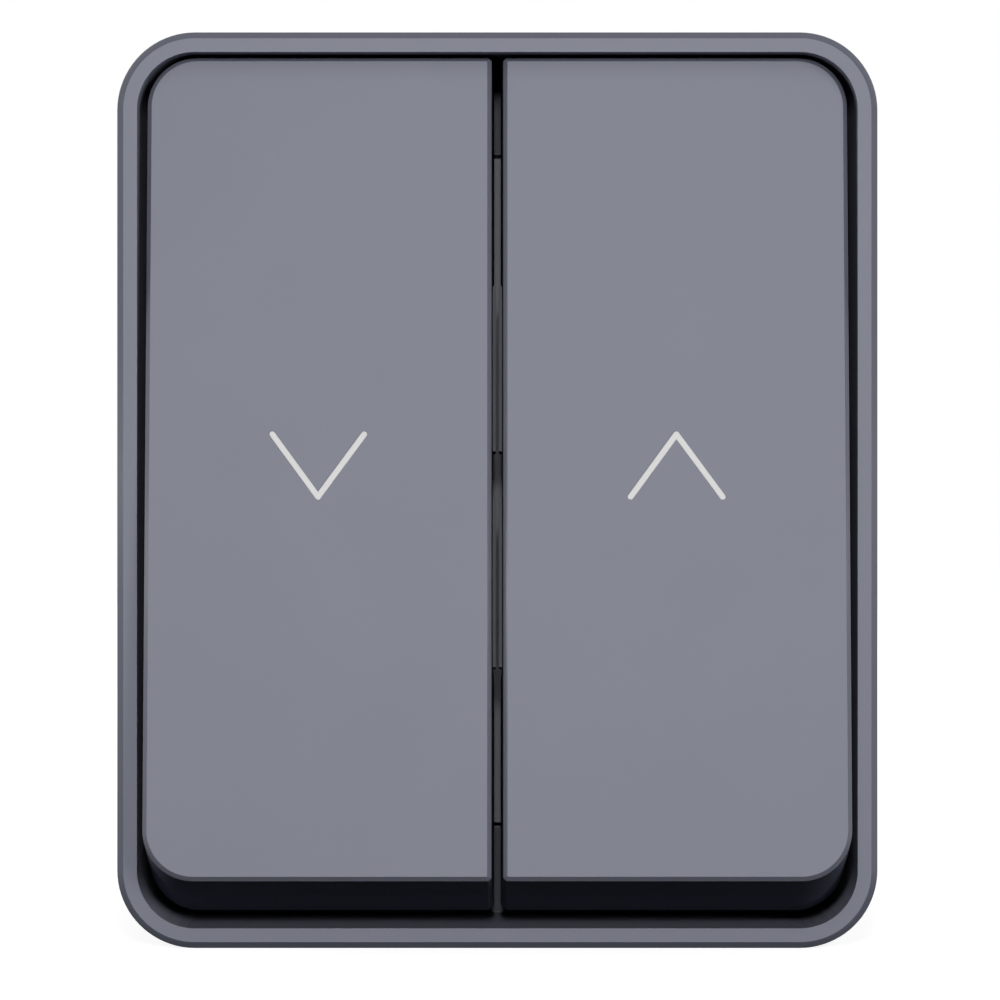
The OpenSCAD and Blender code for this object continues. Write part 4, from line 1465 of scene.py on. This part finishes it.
@dataclass(frozen=True)
class Rocker:
    """One rocker shell with its arrow, drawn about the pivot axis, in millimetres.

    Attributes:
        side: Half of the switch that the rocker is on.
        layout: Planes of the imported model.
        arrow: Shape of the arrow in its face.
        gap: Gap between the two rockers.
        side_gap: Gap to the frame's inner wall.
        edge: Distance of the front edge ahead of the pivot axis.
        edge_radius: Rounding of the edges.
        chamfer: Width of the chamfer round the face.
        skirt: Depth of the skirts behind the front edge.
        draft: Flare of the side skirts, in degrees.
        corner: Radius of the outer corners.
        inner_corner: Cut of the corners at the centre gap.
        least_corner: The least that such a cut is inside the shell.
        face: Thickness of the face.
        wall: Thickness of the skirts.
        actuator: Distance of the actuator's front ahead of the pivot axis.
        actuator_thickness: Thickness of the actuator's plate.
        play: Play round the actuator.
        pocket_play: Play of the arrow in its pocket.
        arrow_back: How far the arrow lies behind the face.
        post: Side of a post that stands on the actuator.
        post_in: Distance of a post from the rocker's side edge.
        post_out: Shift of a post towards the actuator's end.
        peg: Side of a peg that goes through the actuator.
        peg_out: Reach of a peg behind the actuator.
        rib: Thickness of a cross rib.
        rib_depth: Depth of a cross rib.
        rib_in: How far a rib sinks into the skirts.
    """

    side: Side
    layout: Layout
    arrow: Arrow
    gap: float = 1.1
    side_gap: float = 0.85
    edge: float = 19.2
    edge_radius: float = 0.03
    chamfer: float = 0.4
    skirt: float = 16.3
    draft: float = 0.8
    corner: float = 4.75
    inner_corner: float = 0.3
    least_corner: float = 0.05
    face: float = 2.2
    wall: float = 1.8
    actuator: float = 11.6
    actuator_thickness: float = 2.2
    play: float = 0.3
    pocket_play: float = 0.02
    arrow_back: float = 0.01
    post: float = 5
    post_in: float = 5.7
    post_out: float = 0.8
    peg: float = 2.6
    peg_out: float = 1.2
    rib: float = 1.2
    rib_depth: float = 5
    rib_in: float = 0.2

    @property
    def inner_x(self) -> float:
        """Distance of the gap-side edge from the centre line."""
        return self.gap / 2

    @property
    def width(self) -> float:
        """Width of the rocker at its front edge."""
        return self.layout.outer.inset(Casing.wall).width / 2 - self.side_gap - self.inner_x

    @property
    def middle(self) -> float:
        """X of the rocker's middle line."""
        return self.side.value * (self.inner_x + self.width / 2)

    @property
    def face_ahead(self) -> float:
        """Distance of the face ahead of the pivot axis."""
        return self.edge + self.chamfer

    @property
    def half_height(self) -> float:
        """Half the rocker's height at its front edge."""
        return self.layout.reach(self.side.label + "_rocker", self.edge)

    def section(self, ahead: float, grow_x: float, grow_z: float, corner: float) -> Section:
        """The rocker's outline at one distance ahead of the pivot.

        Args:
            ahead: Distance ahead of the pivot axis.
            grow_x: Growth of the outline to both sides.
            grow_z: Growth of the outline to both ends.
            corner: Radius of the outer corners.

        Returns:
            The section, mirrored for the left rocker.
        """
        near = self.inner_x - grow_x
        far = self.inner_x + self.width + grow_x
        end = self.half_height + grow_z
        cut = max(self.least_corner, self.inner_corner + grow_x)
        points = arc((far - corner, -end + corner), corner, -90, 0, CORNER_STEPS)
        points += arc((far - corner, end - corner), corner, 0, 90, CORNER_STEPS)
        points += [(near + cut, end), (near, end - cut), (near, -end + cut), (near + cut, -end)]
        return Section([(self.side.value * x, z) for x, z in points], -ahead)

    def build_shell(self) -> Workpiece:
        """Lofts the shell and its hollow, with the skirts' flare and draft.

        Returns:
            The plain shell.
        """
        end = self.skirt * math.tan(-math.radians(self.layout.tilt))
        side = self.skirt * math.tan(math.radians(self.draft))
        back = self.edge - self.skirt
        share = self.face / self.skirt
        wall = self.wall
        rings = (
            (self.face_ahead - self.face, side * share - wall, end * share - wall, self.corner - wall),
            (back, side - wall, end - wall, self.corner - wall),
            (back, side, end, self.corner),
            (self.edge, 0, 0, self.corner),
            (self.face_ahead, -self.chamfer, -self.chamfer, self.corner - self.chamfer),
        )
        solid = loft([self.section(*ring) for ring in rings])
        return Workpiece(self.side.label + "_rocker_shell", solid, self.layout.rocker_place())

    def _mirrored(self, x0: float, x1: float) -> tuple[float, float]:
        """Two X values of the right rocker as they lie on this one, in order."""
        return span(self.side.value * x0, self.side.value * x1)

    def build_inside(self, shell: Workpiece, reach: float) -> None:
        """Cuts the actuator's window and adds the posts, pegs and ribs behind the face.

        Args:
            shell: The plain shell.
            reach: Half the actuator's height.
        """
        place = self.layout.rocker_place()
        front = -self.actuator
        window = bmesh.new()
        low, high = self._mirrored(-OVERLAP, self.inner_x + 2 * self.wall)
        end = reach + self.play
        back = self.skirt - self.edge + PAST
        add_block(window, (low, front - self.play, -end), (high, back, end))
        shell.cut(Workpiece("rocker_window", window, place))
        inside = bmesh.new()
        behind = self.face - self.face_ahead
        peg_back = front + self.actuator_thickness + self.peg_out
        post_x = self.width / 2 - self.post_in
        for shift, z in four_corners(post_x, reach - self.post + self.post_out):
            for size, y0, y1 in (
                (self.post, behind - OVERLAP, front),
                (self.peg, front - OVERLAP, peg_back),
            ):
                x = self.middle + shift
                half = size / 2
                add_block(inside, (x - half, y0, z - half), (x + half, y1, z + half))
        sunk = self.wall - self.rib_in
        low, high = self._mirrored(self.inner_x + sunk, self.inner_x + self.width - sunk)
        middle = (self.half_height + reach) / 2 - self.wall
        half = self.rib / 2
        for z in (-middle, middle):
            add_block(
                inside,
                (low, behind - OVERLAP, z - half),
                (high, behind + self.rib_depth, z + half),
            )
        shell.join(Workpiece("rocker_inside", inside, place))

    def arrow_solid(self, name: str, grow: float, front: float) -> Workpiece:
        """A straight solid over the arrow's outline, down to the arrow's depth.

        Args:
            name: Name of the solid.
            grow: Distance by which the outline is moved outwards.
            front: Distance of its front ahead of the face.

        Returns:
            The solid, at its place.
        """
        outline = self.arrow.outline(self.side is Side.RIGHT, grow)
        shifted = [(self.middle + x, z) for x, z in outline]
        depths = (-self.face_ahead - front, self.arrow.depth - self.face_ahead)
        solid = loft([Section(shifted, y) for y in depths])
        return Workpiece(name, solid, self.layout.rocker_place())

    def build(self) -> None:
        """Makes the rocker and the arrow that is moulded into it."""
        shell = self.build_shell()
        self.build_inside(shell, self.layout.reach(self.side.label + "_actuator", self.actuator))
        shell.soften(self.edge_radius, 2)
        shell.cut(self.arrow_solid("arrow_pocket", self.pocket_play, PAST))
        shell.smooth()
        shell.dress(ROCKER_PLASTIC)
        ahead = self.layout.rocker_place().to_3x3() @ Vector((0, -1, 0))
        # Chamfers: painted shade, a darker tone.
        shell.dress_faces(ROCKER_CHAMFER_PAINTED_SHADE, lambda face: leans(face.normal.dot(ahead)))
        # Skirts: matt, with painted shade, a darker tone.
        shell.dress_faces(ROCKER_SKIRT_PAINTED_SHADE, lambda face: abs(face.normal.dot(ahead)) < WALL)
        body = self.side.label + "_rocker"
        shell.fit(body, body)
        node = "up_arrow" if self.side is Side.RIGHT else "down_arrow"
        inlay = self.arrow_solid(node + "_inlay", 0, -self.arrow_back)
        inlay.soften(self.edge_radius, 2)
        inlay.dress(ARROW_PLASTIC)
        inlay.fit(body, node)


@dataclass(frozen=True)
class Mechanism:
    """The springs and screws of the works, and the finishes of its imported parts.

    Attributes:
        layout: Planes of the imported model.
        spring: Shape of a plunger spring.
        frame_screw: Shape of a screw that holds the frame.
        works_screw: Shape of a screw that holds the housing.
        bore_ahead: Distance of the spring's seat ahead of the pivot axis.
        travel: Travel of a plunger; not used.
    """

    layout: Layout
    spring: SpringShape = SpringShape()
    frame_screw: ScrewShape = ScrewShape(
        head_radius=2.6, head_height=1.6, shank_radius=1.2, length=12
    )
    works_screw: ScrewShape = ScrewShape(
        head_radius=2.1,
        head_height=1.4,
        shank_radius=1.1,
        length=5.5,
        pitch=0.8,
        thread=0.16,
        recess=0.7,
    )
    bore_ahead: float = 3
    travel: float = 1

    def build_spring(self, side: Side) -> None:
        """Winds one plunger spring in its tube.

        Args:
            side: Half of the switch that the spring is on.
        """
        node = side.label + "_spring"
        low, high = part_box(side.label + "_plunger")
        middle = (low.x + high.x) / 2 / MM
        place = self.layout.rocker_place()
        base = Matrix.Translation((middle, -self.bore_ahead + self.spring.wire / 2, 0))
        along_y = Matrix.Rotation(math.radians(-90), 4, "X")
        wound = Placed(self.spring.build(node + "_wire"), place @ base @ along_y)
        wound.obj.data.shade_smooth()
        wound.fit(side.label + "_rocker", node)
        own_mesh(wound.obj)

    def dress_carried(self, nodes: dict[str, bpy.types.Object]) -> None:
        """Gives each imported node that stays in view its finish.

        Args:
            nodes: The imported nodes' objects by name.
        """
        for finish, names in CARRIED_NODES.items():
            for name in names:
                dress_object(nodes[name], finish)
                log.info("%s keeps its packed shape, in %s", name, finish.slot.value)

    def build(self, nodes: dict[str, bpy.types.Object]) -> None:
        """Makes the springs and screws, then dresses the rest.

        Args:
            nodes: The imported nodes' objects by name.
        """
        for side in Side:
            self.build_spring(side)
        ScrewSet("frame_screws", self.frame_screw, seed=3).build()
        ScrewSet("mechanism_screws", self.works_screw, seed=8, heads_back=True).build()
        self.dress_carried(nodes)


@dataclass(frozen=True)
class SoftBox:
    """A rectangular lamp aimed at the switch, in metres and watts."""

    name: str
    place: tuple[float, float, float]
    width: float
    height: float
    power: float

    def build(self) -> None:
        """Makes the lamp, which the camera doesn't see."""
        light = bpy.data.lights.new(self.name, "AREA")
        light.shape = "RECTANGLE"
        light.size = self.width
        light.size_y = self.height
        light.energy = self.power
        lamp = bpy.data.objects.new(self.name, light)
        lamp.location = self.place
        lamp.rotation_euler = (-Vector(self.place)).to_track_quat("-Z", "Y").to_euler()
        lamp.visible_camera = False
        bpy.context.scene.collection.objects.link(lamp)


@dataclass(frozen=True)
class Studio:
    """Floor, lamps, surroundings and camera.

    Attributes:
        layout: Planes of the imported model.
        camera_x: X of the camera, in millimetres.
        camera_z: Z of the camera.
        distance: Distance of the camera from the frame's front face.
        lens: Focal length of the lens.
        sensor: Width of the camera's sensor.
        floor_radius: Radius of the floor, in metres.
        floor_unseen: Tone by which the floor lights the switch.
        floor_seen: Tone of the floor in the picture, over which its glow lies.
        floor_near: Glow of the floor beside the switch, where its shadow falls.
        glow_from: Distance from the switch where the glow starts to grow, in metres.
        glow_to: Distance where it is full.
        contact: Length over which the glow fades in along a reflected ray, in metres.
        ambient: Colour by which the surroundings light the switch.
    """

    layout: Layout
    camera_x: float = 0.25
    camera_z: float = -0.92
    distance: float = 529
    lens: float = 203
    sensor: float = 36
    floor_radius: float = 6
    floor_unseen: float = 0.05
    floor_seen: float = 0.45
    floor_near: float = 0.85
    glow_from: float = 0.06
    glow_to: float = 0.5
    contact: float = 0.1
    ambient: Colour = (0.026, 0.026, 0.027)

    def _show(
        self, tree: NodeTree, unseen: bpy.types.Node, seen: bpy.types.Node, output: str
    ) -> None:
        """Ends a tree with one shader for the picture's background and one for the light.

        Args:
            tree: The tree that grows.
            unseen: Shader that lights the switch.
            seen: Shader for rays from the camera, or by a reflection or through glass.
            output: Type of the tree's output node.
        """
        path = tree.node("ShaderNodeLightPath").outputs
        either = tree.math("MAXIMUM", path["Is Camera Ray"], path["Is Glossy Ray"])
        shows = tree.math("MAXIMUM", either, path["Is Transmission Ray"])
        feeds = {0: shows, 1: unseen.outputs[0], 2: seen.outputs[0]}
        tree.node(output, {"Surface": tree.node("ShaderNodeMixShader", feeds).outputs[0]})

    def build_floor(self) -> None:
        """Lays a round pale floor under the switch's lower end."""
        disc = bmesh.new()
        bmesh.ops.create_circle(disc, cap_ends=True, segments=96, radius=self.floor_radius / MM)
        level = Matrix.Translation((0, 0, -self.layout.outer.height / 2))
        floor = Workpiece("studio_floor", disc, level)
        made = bpy.data.materials.new("studio_floor")
        made.use_nodes = True
        tree = NodeTree(made.node_tree)
        unseen, shaded = (
            tree.node("ShaderNodeBsdfDiffuse", {"Color": (tone, tone, tone, 1)})
            for tone in (self.floor_unseen, self.floor_seen)
        )
        place = tree.node("ShaderNodeTexCoord").outputs["Object"]
        away = tree.node("ShaderNodeVectorMath", {0: place}, operation="LENGTH").outputs["Value"]
        rise = tree.ramp(away, self.glow_from, self.glow_to, low=self.floor_near)
        length = tree.node("ShaderNodeLightPath").outputs["Ray Length"]
        strength = tree.math("MULTIPLY", rise, tree.ramp(length, 0, self.contact))
        glow = tree.node("ShaderNodeEmission", {"Strength": strength})
        seen = tree.node("ShaderNodeAddShader", {0: shaded.outputs[0], 1: glow.outputs[0]})
        self._show(tree, unseen, seen, "ShaderNodeOutputMaterial")
        floor.obj.data.materials.append(made)

    def build_world(self) -> None:
        """Surrounds the scene with white that gives only a low, even light."""
        world = bpy.data.worlds.new("studio")
        bpy.context.scene.world = world
        world.use_nodes = True
        tree = NodeTree(world.node_tree)
        ambient, white = (
            tree.node("ShaderNodeBackground", {"Color": (*colour, 1)})
            for colour in (self.ambient, (1, 1, 1))
        )
        self._show(tree, ambient, white, "ShaderNodeOutputWorld")

    def build_lamps(self) -> None:
        """Hangs the soft boxes."""
        for lamp in (
            SoftBox("key", (0, -0.61, 0.124), 0.03, 0.05, 1.45),
            SoftBox("high", (0, -0.85, 0.6), 0.4, 0.4, 1.25),
            SoftBox("right", (0.52, -1.1, 0.22), 0.3, 0.3, 3),
            SoftBox("left", (-1.18, -0.25, 0.1), 0.4, 0.4, 0.5),
            SoftBox("left_glint", (-0.11, -0.067, 0.0015), 0.004, 0.004, 0.009),
            SoftBox("right_glint", (0.11, -0.067, 0.0015), 0.004, 0.004, 0.004),
            SoftBox("back_left", (-0.9, 0.9, 0.6), 0.7, 0.7, 6),
            SoftBox("back_right", (0.9, 0.9, 0.5), 0.7, 0.7, 6),
        ):
            lamp.build()

    def build_camera(self) -> None:
        """Looks straight at the front from the photograph's distance."""
        data = bpy.data.cameras.new("camera")
        data.lens = self.lens
        data.sensor_width = self.sensor
        data.clip_start = 0.01
        camera = bpy.data.objects.new("camera", data)
        place = (self.camera_x, self.layout.front - self.distance, self.camera_z)
        camera.location = Vector(place) * MM
        camera.rotation_euler = (math.radians(90), 0, 0)
        bpy.context.scene.collection.objects.link(camera)
        bpy.context.scene.camera = camera

    def build(self) -> None:
        """Sets up the whole studio."""
        self.build_camera()
        self.build_floor()
        self.build_world()
        self.build_lamps()
        bpy.context.scene.view_settings.view_transform = "Standard"


def main() -> None:
    """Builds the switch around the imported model, and the studio round it."""
    logging.basicConfig(level=logging.INFO, format="%(name)s: %(message)s")
    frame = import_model()
    layout = Layout.from_frame(frame["joints"])
    Studio(layout).build()
    Casing(layout).build()
    for side in Side:
        Rocker(side, layout, Arrow()).build()
    Mechanism(layout).build(frame["nodes"])


if __name__ == "__main__":
    main()
